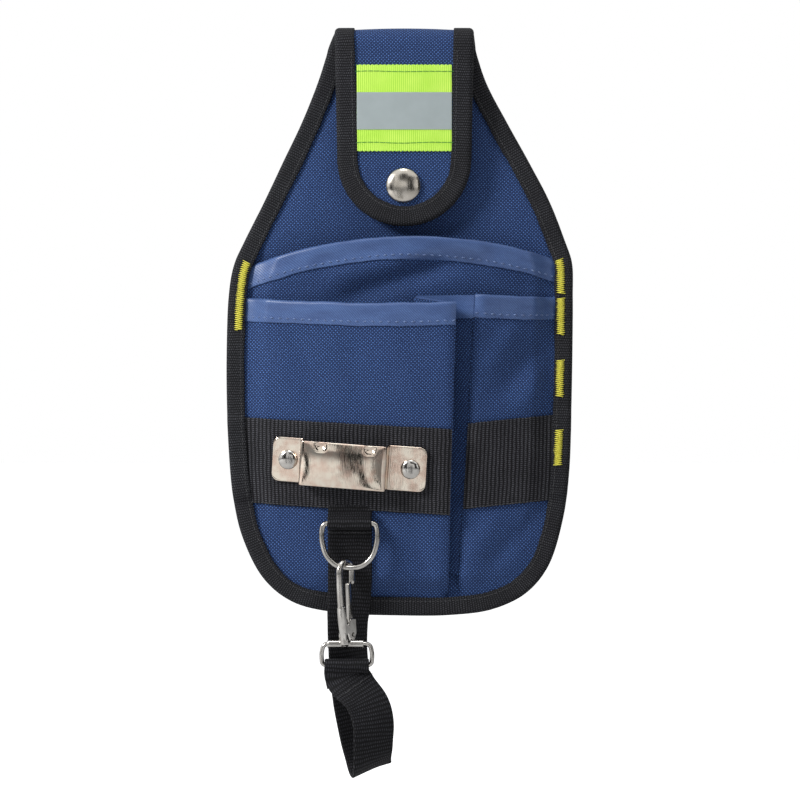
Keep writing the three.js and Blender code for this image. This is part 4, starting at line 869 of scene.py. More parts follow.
def add_world():
    """A room that camera, glossy and transmission rays see as plain white."""
    world = bpy.data.worlds.new("room")
    world.use_nodes = True
    tree = world.node_tree
    room = tree.nodes["Background"]
    room.inputs[0].default_value = (0.93, 0.96, 1.0, 1.0)
    room.inputs[1].default_value = room_strength
    white = tree.nodes.new("ShaderNodeBackground")
    white.inputs[0].default_value = (1.0, 1.0, 1.0, 1.0)
    white.inputs[1].default_value = white_strength
    rays = tree.nodes.new("ShaderNodeLightPath").outputs
    seen = rays["Is Camera Ray"]
    for kind in ("Is Glossy Ray", "Is Transmission Ray"):
        either = tree.nodes.new("ShaderNodeMath")
        either.operation = "MAXIMUM"
        tree.links.new(seen, either.inputs[0])
        tree.links.new(rays[kind], either.inputs[1])
        seen = either.outputs[0]
    pick = tree.nodes.new("ShaderNodeMixShader")
    for socket, value in enumerate((seen, room.outputs[0], white.outputs[0])):
        tree.links.new(value, pick.inputs[socket])
    tree.links.new(pick.outputs[0], tree.nodes["World Output"].inputs[0])
    bpy.context.scene.world = world


def add_lamps():
    for name, (power, size, place) in lamps.items():
        light = bpy.data.lights.new(name, "AREA")
        light.shape, light.size, light.energy = "DISK", size, power
        lamp = new_object(name, light)
        lamp.location = place
        lamp.rotation_euler = towards(place, lamp_target).to_euler()


def flat_stage(name, corners, finish):
    """A flat sheet of the studio, which isn't part of the pouch."""
    mesh = bpy.data.meshes.new(name)
    mesh.from_pydata(corners, [], [(0, 1, 2, 3)])
    mesh.materials.append(finish.material)
    sheet = new_object(name, mesh)
    return sheet


def add_flag(name, corners, grey):
    """A studio flag that only glossy rays see: its dark edge gives polished steel its shape."""
    finish = Finish(name, Roughness=1.0, Specular_IOR_Level=0.0)
    finish.shader.inputs["Base Color"].default_value = (grey, grey, grey, 1.0)
    flag = flat_stage(name, corners, finish)
    flag.visible_camera = flag.visible_diffuse = flag.visible_shadow = flag.visible_transmission = False


def add_flags():
    for name, (place, wide, tall, grey) in flags.items():
        turn = towards(place, pouch_middle).to_matrix()
        halves = [Vector((x * wide / 2, y * tall / 2, 0)) for x, y in corner_signs]
        add_flag(name, [turn @ half + Vector(place) for half in halves], grey)
    for name, (foot_left, foot_right, left, right, top, grey) in slats.items():
        add_flag(name, [(foot_left, slat_foot_y, slat_foot_z), (foot_right, slat_foot_y, slat_foot_z),
                        (right, slat_top_y, top), (left, slat_top_y, top)], grey)


def add_floor():
    f = Finish("pale_floor", Roughness=0.9)
    f.shader.inputs["Base Color"].default_value = (0.9, 0.9, 0.9, 1.0)
    f.shader.inputs["Emission Color"].default_value = (1.0, 1.0, 1.0, 1.0)
    f.use("Emission Strength", f.do("MULTIPLY", f.node("LightPath", {}).outputs["Is Camera Ray"], 0.75))
    flat_stage("floor", [(x * floor_reach, y * floor_reach, floor_z) for x, y in corner_signs], f)


bpy.context.scene.view_settings.view_transform = "Standard"
add_camera()
add_world()
add_lamps()
add_flags()
add_floor()


# Panel, flap and their binding

inset_lines = {}


def shell_side(s, inset, side):
    """How far out the cloth reaches on one side at s, on the pouch, over the fold and down the flap."""
    if inset not in inset_lines:
        p = edge_point(np.linspace(0, 1, 1400), inset)
        cut = int(np.argmin(p[:, 1]))
        left, right = p[: cut + 1], p[cut:]
        order = np.argsort(-left[:, 1]), np.argsort(-right[:, 1])
        inset_lines[inset] = [(-q[o, 1], q[o, 0]) for q, o in zip((left, right), order)]
    drops, xs = inset_lines[inset][0 if side < 0 else 1]
    s = np.asarray(s, float)
    on_pouch = np.interp(-(np.minimum(s, 0) - hinge_drop + clear), drops, xs)
    on_flap = flap_centre_x + side * (flap_half(s) - inset)
    return mix(on_pouch, on_flap, ease(s, -1, arc_top))


def shell_cloth(name, rows, inset, low, high, relief=None, columns=70):
    """A layer of the shell between two heights over it: rows run along s, columns from left to right."""
    rings, uv = [], []
    share, top, bottom = strip_section(1.0, 0.0, 1.0, 1.0 / columns, 0.02)
    for s in rows:
        left, right = shell_side(s, inset, -1), shell_side(s, inset, 1)
        x = mix(left, right, share)
        thick = high(s) - low(s) if callable(high) else high - low
        base = low(s) if callable(low) else low
        lift = relief(x, np.full_like(x, s)) if relief else 0
        up, down = base + top * thick + lift, base + bottom * thick + lift
        rings.append(both_faces(shell(x, s, up), shell(x, s, down)))
        uv.append(np.stack([both_faces(x, x), np.full(2 * len(x), s)], -1))
    return skin(name, rings, uv)


binding_step = 0.9


def tape_face(path, turn, deep, front):
    """Where a place on a folded binding lies: the share of its run, how far in from its edge, how proud.
    The face is the leg behind the shell, as on the pouch, or the one before it, as on the flap."""
    line = Line(path)
    shares = line.evenly(binding_step)

    def place(share, reach, proud):
        p, slope = line.at(share), line.slope(share)
        inward = turn * np.stack([-slope[..., 1], slope[..., 0]], -1)
        at = p + inward * np.asarray(reach, float)[..., None]
        back = -(np.interp(share, shares, np.broadcast_to(deep, shares.shape)) + 1.0 + proud)
        return shell(at[..., 0], at[..., 1], 1.0 + front + proud if front is not None else back)
    return line, place


def folded_tape(name, path, turn, deep, leg, lift):
    """Binding folded round an edge that runs in the unrolled shell. deep gives how far behind the outer face
    the inner leg lies at each station, and leg how far both legs reach in."""
    line = Line(path)
    shares = line.evenly(binding_step)
    at, slope = line.at(shares), line.slope(shares)
    inward = turn * np.stack([-slope[:, 1], slope[:, 0]], -1)
    rings, uv = [], []
    section = strip_section(1.0, -0.5, 0.5, 1 / 26, 1 / 18)
    along = shares * line.long
    for k, (p, i) in enumerate(zip(at, inward)):
        t, length = deep[k], leg[k]
        r = 1.5
        top, low = 0.5 + lift, -(t + 0.5)
        arc = np.linspace(0, math.pi / 2, 5)
        run = np.concatenate([
            [(length, top)],
            np.stack([0.5 + r - r * np.sin(arc), top - r + r * np.cos(arc)], -1),
            np.stack([0.5 + r - r * np.cos(arc), low + r - r * np.sin(arc)], -1), [(length, low)]])
        cut = Line(run)
        a, up, down = section
        mid, along_cut = cut.at(a), cut.slope(a)
        normal = np.stack([-along_cut[:, 1], along_cut[:, 0]], -1)
        outer, inner = mid - normal * up[:, None], mid - normal * down[:, None]
        loop = both_faces(outer, inner)
        places = p + i * loop[:, :1]
        rings.append(shell(places[:, 0], places[:, 1], loop[:, 1]))
        across = a * cut.long
        uv.append(np.stack([both_faces(across, across), np.full(2 * len(a), along[k])], -1))
    return skin(name, rings, uv, "strip", 50)


def over_strip(z, drop, tall, ease_off):
    """One in front of a strip that starts at a drop and is so tall, and eased to nothing beyond its edges."""
    return ease(-z, drop - 2, drop + 2) * ease(z, -drop - tall - 2, -drop - tall + ease_off)


def binding_depth(x, z):
    """Depth of the front leg's inner face: deeper where it holds the sheets, the hems and the band down."""
    deep = mix(high_leg_deep, low_leg_deep, ease(-z, back_hem_left - 2 * hem_tall, back_hem_left))
    side_drop = np.where(x < 0, band_left_drop, band_right_drop - band_right_rise)
    band = over_strip(z, side_drop, band_tall, 2)
    hem_drop = np.where(x < 0, left_hem_drop, right_hem_drop)
    hem = over_strip(z, hem_drop, hem_tall, 1)
    return deep + 1.1 * band + 0.5 * hem


def make_panel_binding():
    fold = np.linspace(arc_top, 0.6, 24)
    left = [(shell_side(s, 0, -1), s) for s in fold]
    right = [(shell_side(s, 0, 1), s) for s in fold[::-1]]
    on_pouch = [(x, z + hinge_drop - clear) for x, z in edge.points[2:-2]]
    path = curved(np.array(left + on_pouch + right)[::3], fine=6)
    line = Line(path)
    p = line.at(line.evenly(binding_step))
    z = np.minimum(p[:, 1], 0) - hinge_drop + clear
    deep = binding_depth(p[:, 0], z)
    deep = mix(deep, flap_thick + clear, ease(p[:, 1], -2, arc_top))
    sway = 0.22 * lumps(p[:, 0], p[:, 1], 5, 5) + 0.25 * lumps(p[:, 0], p[:, 1], 17, 6)
    leg = mix(leg_long, flap_leg_long, ease(p[:, 1], -10, arc_top)) + sway
    deep = deep + 0.12 * lumps(p[:, 0], p[:, 1], 4, 8)
    tape = folded_tape("panel_binding_tape", path, 1, deep, leg, 0.0)
    fit(tape, grosgrain, None, "black_binding", "panel_binding")
    return tape, tape_face(path, 1, deep, None)


def make_flap_binding():
    rows = np.linspace(arc_top, tip_centre, 40)
    left = [(flap_centre_x - flap_half(s), s) for s in rows]
    turn = np.linspace(0, math.pi, 40)[1:-1]
    tip = [(flap_centre_x - flap_half_foot * math.cos(t), tip_centre + flap_half_foot * math.sin(t))
           for t in turn]
    right = [(flap_centre_x + flap_half(s), s) for s in rows[::-1]]
    path = curved(np.array((left + tip + right)[::2] + right[-1:]), fine=8)
    line = Line(path)
    p = line.at(line.evenly(binding_step))
    sway = 0.2 * lumps(p[:, 0], p[:, 1], 5, 11) + 0.2 * lumps(p[:, 0], p[:, 1], 15, 12)
    deep = flap_thick + clear + 0.1 * lumps(p[:, 0], p[:, 1], 4, 13)
    tape = folded_tape("flap_binding_tape", path, -1, deep, flap_leg_long + sway, 0.25)
    fit(tape, grosgrain, "flap", "black_binding", "flap_binding")
    return tape_face(path, -1, deep, 0.25)


def fold_crown(x, s):
    """The soft fold stands up a little in its middle."""
    across = np.clip(1 - ((x - flap_centre_x) / flap_half_top) ** 2, 0, 1)
    return 1.0 * across ** 1.4 * np.exp(-(((s - arc_top) / 8) ** 2))


def rows_to_foot(top, inset, step=1.6):
    """Places along s from the pouch's foot up, close together where the foot is round."""
    low = -pouch_tall + inset + hinge_drop - clear
    return np.concatenate([low + 14 * np.linspace(0.02, 1, 14) ** 2, np.arange(low + 15.5, top, step), [top]])


def rear_relief(x, s):
    sunk = 0.12 * (1 + lumps(x, s, 14, 21)) * ease(s, -249, -230) * ease(-s, 2, 12)
    return fold_crown(x, s) - sunk


def make_rear_cloth():
    cloth = shell_cloth("rear_cloth", rows_to_foot(arc_top, 2.0), 2.0, -0.95, 0.0, rear_relief)
    return fit(cloth, navy_lining, None, "navy_fabric", "rear_lining")


def pad_puff(x, z):
    inside = ease(from_edge(x, z), 7.5, 19)
    open_part = ease(z, -100, -84)
    broad = inside * open_part * (0.75 + 0.3 * lumps(x, z, 16, 31))
    return broad + 0.12 * lumps(x, z, 7, 32) * inside * open_part


def make_panel_pad():
    top = -8.5
    rows = rows_to_foot(top + hinge_drop - clear, 3.0)
    rings, uv = [], []
    share, up, down = strip_section(1.0, 0.0, 1.0, 1 / 75, 0.04)
    for s in rows:
        z = s - hinge_drop + clear
        x = mix(shell_side(s, 3.0, -1), shell_side(s, 3.0, 1), share)
        end = float(np.sqrt(np.clip(1 - (1 - np.clip((top - z) / 1.6, 0.03, 1)) ** 2, 0, 1)))
        mid, half = 2.5, 1.5 * end
        front = mid + half * (2 * up - 1) + pad_puff(x, np.full_like(x, z)) * end
        rear = mid + half * (2 * down - 1)
        depth, across = both_faces(front, rear), both_faces(x, x)
        rings.append(np.stack([across, -depth, np.full_like(across, z)], -1))
        uv.append(np.stack([across, np.full_like(across, z)], -1))
    pad = skin("panel_pad", rings, uv)
    swell(pad)
    return fit(pad, navy, "pouch", "navy_fabric", "front_panel", "foam_core")


air_pressure, air_frames, swell_most = 4.0, 20, 0.9


def swell(pad):
    """Lets air pressure round the padding between its bound edges, as cloth held all round by its binding."""
    start = np.empty(len(pad.data.vertices) * 3)
    pad.data.vertices.foreach_get("co", start)
    start = start.reshape(-1, 3)
    x, z, deep = start[:, 0] / MM, start[:, 2] / MM, -start[:, 1] / MM
    free = ease(from_edge(x, z), 7.0, 13.0) * ease(-z, 14, 22) * ease(deep, 2.4, 2.9) * ease(z, -108, -98)
    held = pad.vertex_groups.new(name="held")
    for index, share in enumerate(1 - free):
        held.add([index], float(share), "REPLACE")
    cloth = pad.modifiers.new("air", "CLOTH")
    cloth.settings.quality = 5
    cloth.settings.mass = 0.2
    cloth.settings.vertex_group_mass = "held"
    cloth.settings.use_pressure = True
    cloth.settings.uniform_pressure_force = air_pressure
    cloth.settings.effector_weights.gravity = 0.0
    cloth.point_cache.frame_start, cloth.point_cache.frame_end = 1, air_frames
    for frame_number in range(1, air_frames + 1):
        bpy.context.scene.frame_set(frame_number)
    baked(pad)
    bpy.context.scene.frame_set(1)
    pad.vertex_groups.clear()
    now = np.empty(len(pad.data.vertices) * 3)
    pad.data.vertices.foreach_get("co", now)
    moved = now.reshape(-1, 3) - start
    far = np.linalg.norm(moved, axis=1, keepdims=True)
    most = swell_most * MM * free[:, None]
    moved = moved * np.minimum(1, most / np.maximum(far, 1e-9))
    pad.data.vertices.foreach_set("co", (start + moved).ravel())
    pad.data.update()


def make_fold_pad():
    rows = np.linspace(-6.5, arc_top, 30)
    thick = lambda s: -mix(panel_deep + 0.05, flap_thick, float(ease(s, -2, arc_top)))
    pad = shell_cloth("fold_pad", rows, 2.0, thick, lambda s: -0.97, fold_crown)
    return fit(pad, navy_lining, None, "navy_fabric")


def make_flap():
    run = np.arange(arc_top, tip_centre, 1.4)
    tip = tip_centre + (flap_half_foot - 1.9) * np.sin(np.linspace(0, math.pi / 2, 26)[:-1])
    rows = np.concatenate([run, tip])
    over = lambda x, s: flap_puff(x, s) + fold_crown(x, s)
    cloth = shell_cloth("flap_cloth", rows, 1.8, -1.0, 0.0, over, 52)
    fit(cloth, navy, "flap", "navy_fabric", "flap_front")
    under = lambda x, s: np.minimum(flap_puff(x, s) * 0.4, 0.25) + fold_crown(x, s)
    lining = shell_cloth("flap_lining_cloth", rows, 1.8, -flap_thick, -1.02, under, 52)
    fit(lining, navy_lining, "flap", "navy_fabric", "flap_lining")
    return cloth, lining


def flap_patch(name, drop, tall, half, low, high, ripple):
    """A tape on the flap, its upper and lower edges slightly scalloped by its ribs."""
    s0, s1 = flap_at(drop), flap_at(drop + tall)
    rings, uv = [], []
    share, top, bottom = strip_section(1.0, low, high, 1 / 60, 0.02)
    for t in np.concatenate([[0, 0.004], np.linspace(0.015, 0.985, 36), [0.996, 1]]):
        x = mix(flap_centre_x - half, flap_centre_x + half, share)
        wave = ripple * np.sin(x * 2 * math.pi / 1.8) * (1 if t < 0.5 else -1) * ease(abs(t - 0.5), 0.46, 0.5)
        s = mix(s0, s1, t) + wave
        end = 1 if 0 < t < 1 else 0.55
        lift = flap_puff(x, s)
        mid = (low + high) / 2
        up, down = mid + (top - mid) * end + lift, mid + (bottom - mid) * end + lift
        rings.append(both_faces(shell(x, s, up), shell(x, s, down)))
        uv.append(np.stack([both_faces(x, x), both_faces(s, s)], -1))
    return skin(name, rings, uv)


def make_flap_tapes():
    lime = flap_patch("lime_tape", hi_vis_drop, hi_vis_tall, 21.0, 0.05, 0.85, 0.22)
    fit(lime, lime_tape, "flap", "hi_vis_tape", "hi_vis_tape")
    drop = hi_vis_drop + (hi_vis_tall - strip_tall) / 2 + 1.3
    silver = flap_patch("silver_strip", drop, strip_tall, 20.95, 0.87, 1.15, 0.0)
    fit(silver, silver_strip, "flap", "reflective_tape", "reflective_strip")


# Pockets

def calm(x, z):
    """No folds under the bindings, the band and the clip."""
    top = np.where(x < right_fold_x - 4, band_left_drop + 2, band_right_drop - 2)
    under_band = ease(-z, top - 7, top) * ease(z, -top - band_tall - 7, -top - band_tall)
    return ease(from_edge(x, z), seam_start - 1.5, seam_start + 7) * (1 - 0.85 * under_band)


left_roll, right_roll = 1.3, 1.7


def rolled(x, z, fold_x, fold_foot_x, side, deep):
    """How far the cloth turns back at a pocket's free fold."""
    share = np.clip((z + pouch_tall) / (pouch_tall - left_fold_drop), 0, 1)
    away = side * (x - mix(fold_foot_x, fold_x, share))
    return -deep * np.clip(1 - away / 5.0, 0, 1) ** 2.2


# Creases in the pockets: where each starts and ends, how wide it is and how high it stands.
back_folds = [
    ((-30, -118), (22, -101), 4.5, -2.6), ((-36, -108), (12, -97), 4.5, 1.4),
    ((2, -104), (40, -100), 4.0, -1.6), ((-60, -110), (-34, -101), 5.0, 0.9),
    ((30, -102), (60, -113), 4.5, -1.0), ((-58, -100), (-30, -94), 4.0, 0.6),
]
left_folds = [
    ((-52, -126), (-34, -160), 6.0, -1.1), ((-12, -126), (10, -166), 7.0, 0.9),
    ((-60, -142), (-44, -166), 5.0, 0.8), ((-24, -134), (-16, -162), 6.0, -0.7),
    ((-60, -218), (-38, -240), 5.0, -1.1), ((4, -212), (12, -246), 5.0, -0.9),
    ((-8, -218), (0, -246), 5.0, 0.9),
]
right_folds = [
    ((66, -132), (42, -160), 5.0, -1.8), ((52, -126), (36, -150), 4.5, 1.1),
    ((68, -146), (50, -168), 4.5, 1.2), ((60, -212), (36, -240), 4.5, -1.5),
    ((44, -210), (30, -232), 4.5, 1.0), ((62, -226), (48, -246), 4.0, 0.9),
]


def back_relief(x, z):
    soft = creased(0.4 * lumps(x, z, 19, 41) + 0.12 * lumps(x, z, 7, 42), x, z, back_folds)
    return soft * ease(from_edge(x, z), seam_start - 1, seam_start + 8)


def left_relief(x, z):
    soft = creased(0.4 * lumps(x, z, 23, 51) + 0.14 * lumps(x, z * 0.8, 9, 52), x, z, left_folds)
    return soft * calm(x, z) + rolled(x, z, left_fold_x, left_fold_foot_x, -1, left_roll)


def right_relief(x, z):
    soft = creased(0.35 * lumps(x, z, 18, 61) + 0.14 * lumps(x, z, 8, 62), x, z, right_folds)
    return soft * calm(x, z) + rolled(x, z, right_fold_x, right_fold_foot_x, 1, right_roll)


def pocket_cloth(name, surface, relief, across, up):
    """A pocket sheet with its folds and creases."""
    u = np.linspace(0, 1, across)
    ends = np.array([0.002, 0.006, 0.013])
    u = np.unique(np.concatenate([u, ends, 1 - ends]))
    rings, uv = [], []
    for v in np.unique(np.concatenate([np.linspace(0, 1, up), 1 - ends])):
        x, z, depth = surface(u, np.full_like(u, v))
        wide = np.hypot(x[-1] - x[0], z[-1] - z[0])
        from_left, from_right = u * wide, (1 - u) * wide
        lift = relief(x, z)
        edge_away = np.minimum(from_left, from_right)
        half = 0.5 * sheet_thick * (0.35 + 0.65 * np.sqrt(1 - (1 - np.clip(edge_away / 0.7, 0, 1)) ** 2))
        mid = depth + sheet_thick / 2 + lift
        front = np.stack([x, -(mid + half), z], -1)
        rear = np.stack([x, -(mid - half), z], -1)
        rings.append(both_faces(front, rear))
        flat_uv = np.stack([x, z], -1)
        uv.append(both_faces(flat_uv, flat_uv))
    return skin(name, rings, uv)


def hem_place(surface, relief, u, height, proud):
    """Places on a pocket's mouth: height over its edge, and how proud of the sheet's rear face."""
    u, height, proud = alike(u, height, proud)
    _, z1, _ = surface(u, np.ones_like(u))
    _, z0, _ = surface(u, np.full_like(u, 0.95))
    v = 1 + np.minimum(height, 0) * 0.05 / (z1 - z0)
    x, z, depth = surface(u, v)
    tuck = 0.7 * (1 - ease(from_edge(x, z), 6.5, 10.5))
    return np.stack([x, -(depth + relief(x, z) + proud - tuck), z + np.maximum(height, 0)], -1)


def hem_tape(name, surface, relief, start, end, seed):
    """Tape folded over a pocket's mouth, its edges a little wavy."""
    x0, z0, _ = surface(np.array([start, end]), np.ones(2))
    stations = np.linspace(start, end, max(8, int(np.hypot(x0[1] - x0[0], z0[1] - z0[0]) / 1.1)))
    arc = np.linspace(0, math.pi, 9)
    rings, uv = [], []
    share, up, down = strip_section(1.0, -0.4, 0.4, 1 / 26, 1 / 20)
    for u in stations:
        x, z, _ = surface(np.array(u), np.array(1.0))
        low = -hem_tall + 0.25 * float(lumps(x, z, 9, seed)) + 0.12 * float(lumps(x, z, 3, seed + 1))
        crown = 0.25 * float(lumps(x, z, 11, seed + 2)) + 0.1 * float(lumps(x, z, 4, seed + 3))
        run = Line(np.concatenate([
            [(low, 1.46), (-4, 1.5 + 0.12 * float(lumps(x, z, 5, seed + 4)))],
            np.stack([crown + 0.9 * np.sin(arc), 0.5 + 0.97 * np.cos(arc)], -1), [(-5.5, -0.45)]]))
        mid, slope = run.at(share), run.slope(share)
        normal = np.stack([-slope[:, 1], slope[:, 0]], -1)
        outer, inner = mid + normal * up[:, None], mid + normal * down[:, None]
        loop = both_faces(outer, inner)
        rings.append(hem_place(surface, relief, u, loop[:, 0], loop[:, 1]))
        cut = share * run.long
        uv.append(np.stack([np.full(2 * len(cut), float(x)), both_faces(cut, cut)], -1))
    return skin(name, rings, uv, "strip", 55)


def inset_share(surface, v, inset, side):
    """The share across a pocket where its surface comes out from under the binding."""
    u = np.linspace(0, 1, 400)
    x, z, _ = surface(u, np.full_like(u, v))
    away = from_edge(x, z)
    inside = u[away >= inset]
    return float(inside[0] if side < 0 else inside[-1])


# Hems and bands come out from under the binding at the first reach, and the hems' stitches at the second.
tape_reach, stitch_reach = 6.4, 8.6

# The pockets from the rear to the front: surface, relief, and the rows across and up that their cloth has.
pocket_kinds = {
    "back": (back_surface, back_relief, 120, 105),
    "left": (left_surface, left_relief, 92, 112),
    "right": (right_surface, right_relief, 56, 112),
}


def mouth_run(side, reach, left_end, right_start):
    """The two ends of a run along a pocket's mouth: at the binding, or just short of the pocket's free fold."""
    surface = pocket_kinds[side][0]
    start = right_start if side == "right" else inset_share(surface, 1, reach, -1)
    end = left_end if side == "left" else inset_share(surface, 1, reach, 1)
    return start, end


def make_pockets():
    made = {}
    for side, (surface, relief, across, up) in pocket_kinds.items():
        cloth = pocket_cloth(side + "_pocket_cloth", surface, relief, across, up)
        made[side] = fit(cloth, navy, "pouch", "navy_fabric", side + "_pocket")
    for seed, (side, (surface, relief, _, _)) in enumerate(pocket_kinds.items(), 71):
        start, end = mouth_run(side, tape_reach, 0.999, 0.001)
        tape = hem_tape(side + "_pocket_hem_tape", surface, relief, start, end, seed)
        made[side + "_hem"] = fit(tape, hem_satin, "pouch", "hem_tape", side + "_pocket_hem")
    return made


def pleat_line(v):
    """Across the pleat at a height: back from the left fold, along the rear pocket, and forward again."""
    foot_z = -pouch_tall + leg_long + clear + 10
    tops = [-left_fold_drop, -right_hem_drop, -right_hem_drop, -right_hem_drop]
    heights = [mix(foot_z, top, v) for top in tops]
    share = lambda z, top: np.array((z + pouch_tall - sheet_inset) / (top + pouch_tall - sheet_inset))
    lx, _, ld = left_surface(np.array(1.0), share(heights[0], -left_fold_drop))
    rx, _, rd = right_surface(np.array(0.0), share(heights[3], -right_hem_drop))
    valley = mix(valley_foot_x, valley_x, v)
    base = lambda x, z: front_seat + float(back_swell(np.array(x), np.array(z))) + 0.5
    return np.array([
        (float(lx) - 0.5, float(ld) - 0.3 - left_roll, heights[0]),
        (valley, base(valley, heights[1]), heights[1]),
        (valley + valley_wide, base(valley + valley_wide, heights[2]), heights[2]),
        (float(rx) + 0.5, float(rd) - 0.3 - right_roll, heights[3]),
    ])


def pleat_strip(name, rows, low, high, draw, roundness, seed):
    """Cloth along the pleat's line at each height, with soft turns."""
    rings, uv = [], []
    share, up, down = strip_section(1.0, low, high, 1 / 46, 1 / 30)
    for v in rows:
        corners = pleat_line(v)
        line = Line(np.array(rounded(corners, roundness, 7)))
        line = Line(line.at(np.linspace(draw / line.long, 1 - draw / line.long, 60)))
        mid, slope = line.at(share), line.slope(share)
        normal = unit(np.stack([-slope[:, 1], slope[:, 0], np.zeros(len(share))], -1))
        swell = 0.35 * lumps(share * line.long, np.full_like(share, mid[:, 2].mean()), 9, seed)[:, None]
        swell = swell * ease(np.minimum(share, 1 - share), 0.02, 0.15)[:, None]
        outer, inner = mid + normal * (up[:, None] + swell), mid + normal * (down[:, None] + swell)
        loop = both_faces(outer, inner)
        rings.append(np.stack([loop[:, 0], -loop[:, 1], loop[:, 2]], -1))
        cut = share * line.long
        uv.append(np.stack([both_faces(cut, cut), np.full(2 * len(cut), mid[0, 2])], -1))
    return skin(name, rings, uv)


def make_pleat():
    pleat = pleat_strip("pleat_cloth", np.linspace(0, 1, 90), -0.5, 0.5, 0.0, 3.0, 81)
    fit(pleat, navy, "pouch", "navy_fabric", "pocket_pleat")
    tall = pleat_line(1)[0, 2] - pleat_line(0)[0, 2]
    hem = pleat_strip("pleat_hem_tape", np.linspace(1 - hem_tall / tall, 1.006, 9), 0.55, 1.3, 0.15, 3.0, 81)
    fit(hem, hem_satin, "pouch", "hem_tape", "pleat_hem")
    return pleat, hem


# Band and clip

def left_band_drop(x):
    return band_left_drop + band_left_fall * ((x + half_wide) / (left_fold_x + half_wide))


def right_band_drop(x):
    return band_right_drop - band_right_rise * ((x - right_fold_x) / (half_wide - right_fold_x))


def band_webbing_strip(name, surface, relief, drop, start, end, seed):
    stations = np.linspace(start, end, int(abs(end - start) * 90) + 8)
    v = np.linspace(0.05, 0.95, 160)

    def place(u, a, proud):
        x, z, _ = surface(np.full_like(v, u), v)
        top = -float(drop(np.interp(0.5, v, x)))
        wave = 0.18 * float(lumps(u * 100, 3.0, 7, seed))
        share = np.interp(top - band_tall + a + wave, z, v)
        px, pz, depth = surface(np.full_like(share, u), share)
        tuck = 0.5 * (1 - ease(from_edge(px, pz), 6.5, 9.5))
        return np.stack([px, -(depth + relief(px, pz) + sheet_thick + 0.03 + proud - tuck), pz], -1)

    x, _, _ = surface(stations, np.full_like(stations, 0.5))
    return ribbon(name, stations, band_tall, 0.0, band_thick, place, x, 0.8)


def make_bands():
    start = inset_share(left_surface, 0.5, tape_reach, -1)
    left = band_webbing_strip("band_left_webbing", left_surface, left_relief, left_band_drop, start, 0.997,
                              91)
    end = inset_share(right_surface, 0.5, tape_reach, 1)
    right = band_webbing_strip("band_right_webbing", right_surface, right_relief, right_band_drop, 0.004, end,
                               92)
    fit(left, band_webbing, "pouch", "black_webbing", "band_left")
    fit(right, band_webbing, "pouch", "black_webbing", "band_right")
    return left, right


clip_wide, clip_tall, clip_thick = 68.4, 19.8, 1.0
clip_stand_off, clip_lift = 7, 0.5
clip_roll = math.radians(4.3)
rivet_reach = clip_wide * (0.5 - 0.1023)
clip_centre = (-0.2951 * half_wide, -(band_left_drop + band_tall / 2 + 1.6))
clip_corner = 3.2
lug_places, lug_half_wide = (-11.9, 9.9), 2.0


def clip_axes():
    """The clip's middle on the pocket and its three directions: along it, out of the face, and up."""
    ends = []
    for reach in (-rivet_reach, rivet_reach):
        x = clip_centre[0] + reach * math.cos(clip_roll)
        z = clip_centre[1] - reach * math.sin(clip_roll)
        ends.append(seated(left_surface, x, z, sheet_thick))
    centre = (ends[0] + ends[1]) / 2
    along = unit(ends[1] - ends[0])
    low = seated(left_surface, centre[0], centre[2] - clip_tall / 2, sheet_thick)
    high = seated(left_surface, centre[0], centre[2] + clip_tall / 2, sheet_thick)
    inward = unit(np.cross(unit(high - low), along))
    return centre, along, -inward, np.cross(along, inward)


clip_at, clip_along, clip_out, clip_up = clip_axes()


def on_clip(p):
    """A place across the clip, in front of it (as y below zero) and up it, in the pouch's own frame."""
    p = np.asarray(p, float)
    return clip_at + p[..., :1] * clip_along - p[..., 1:2] * clip_out + p[..., 2:] * clip_up


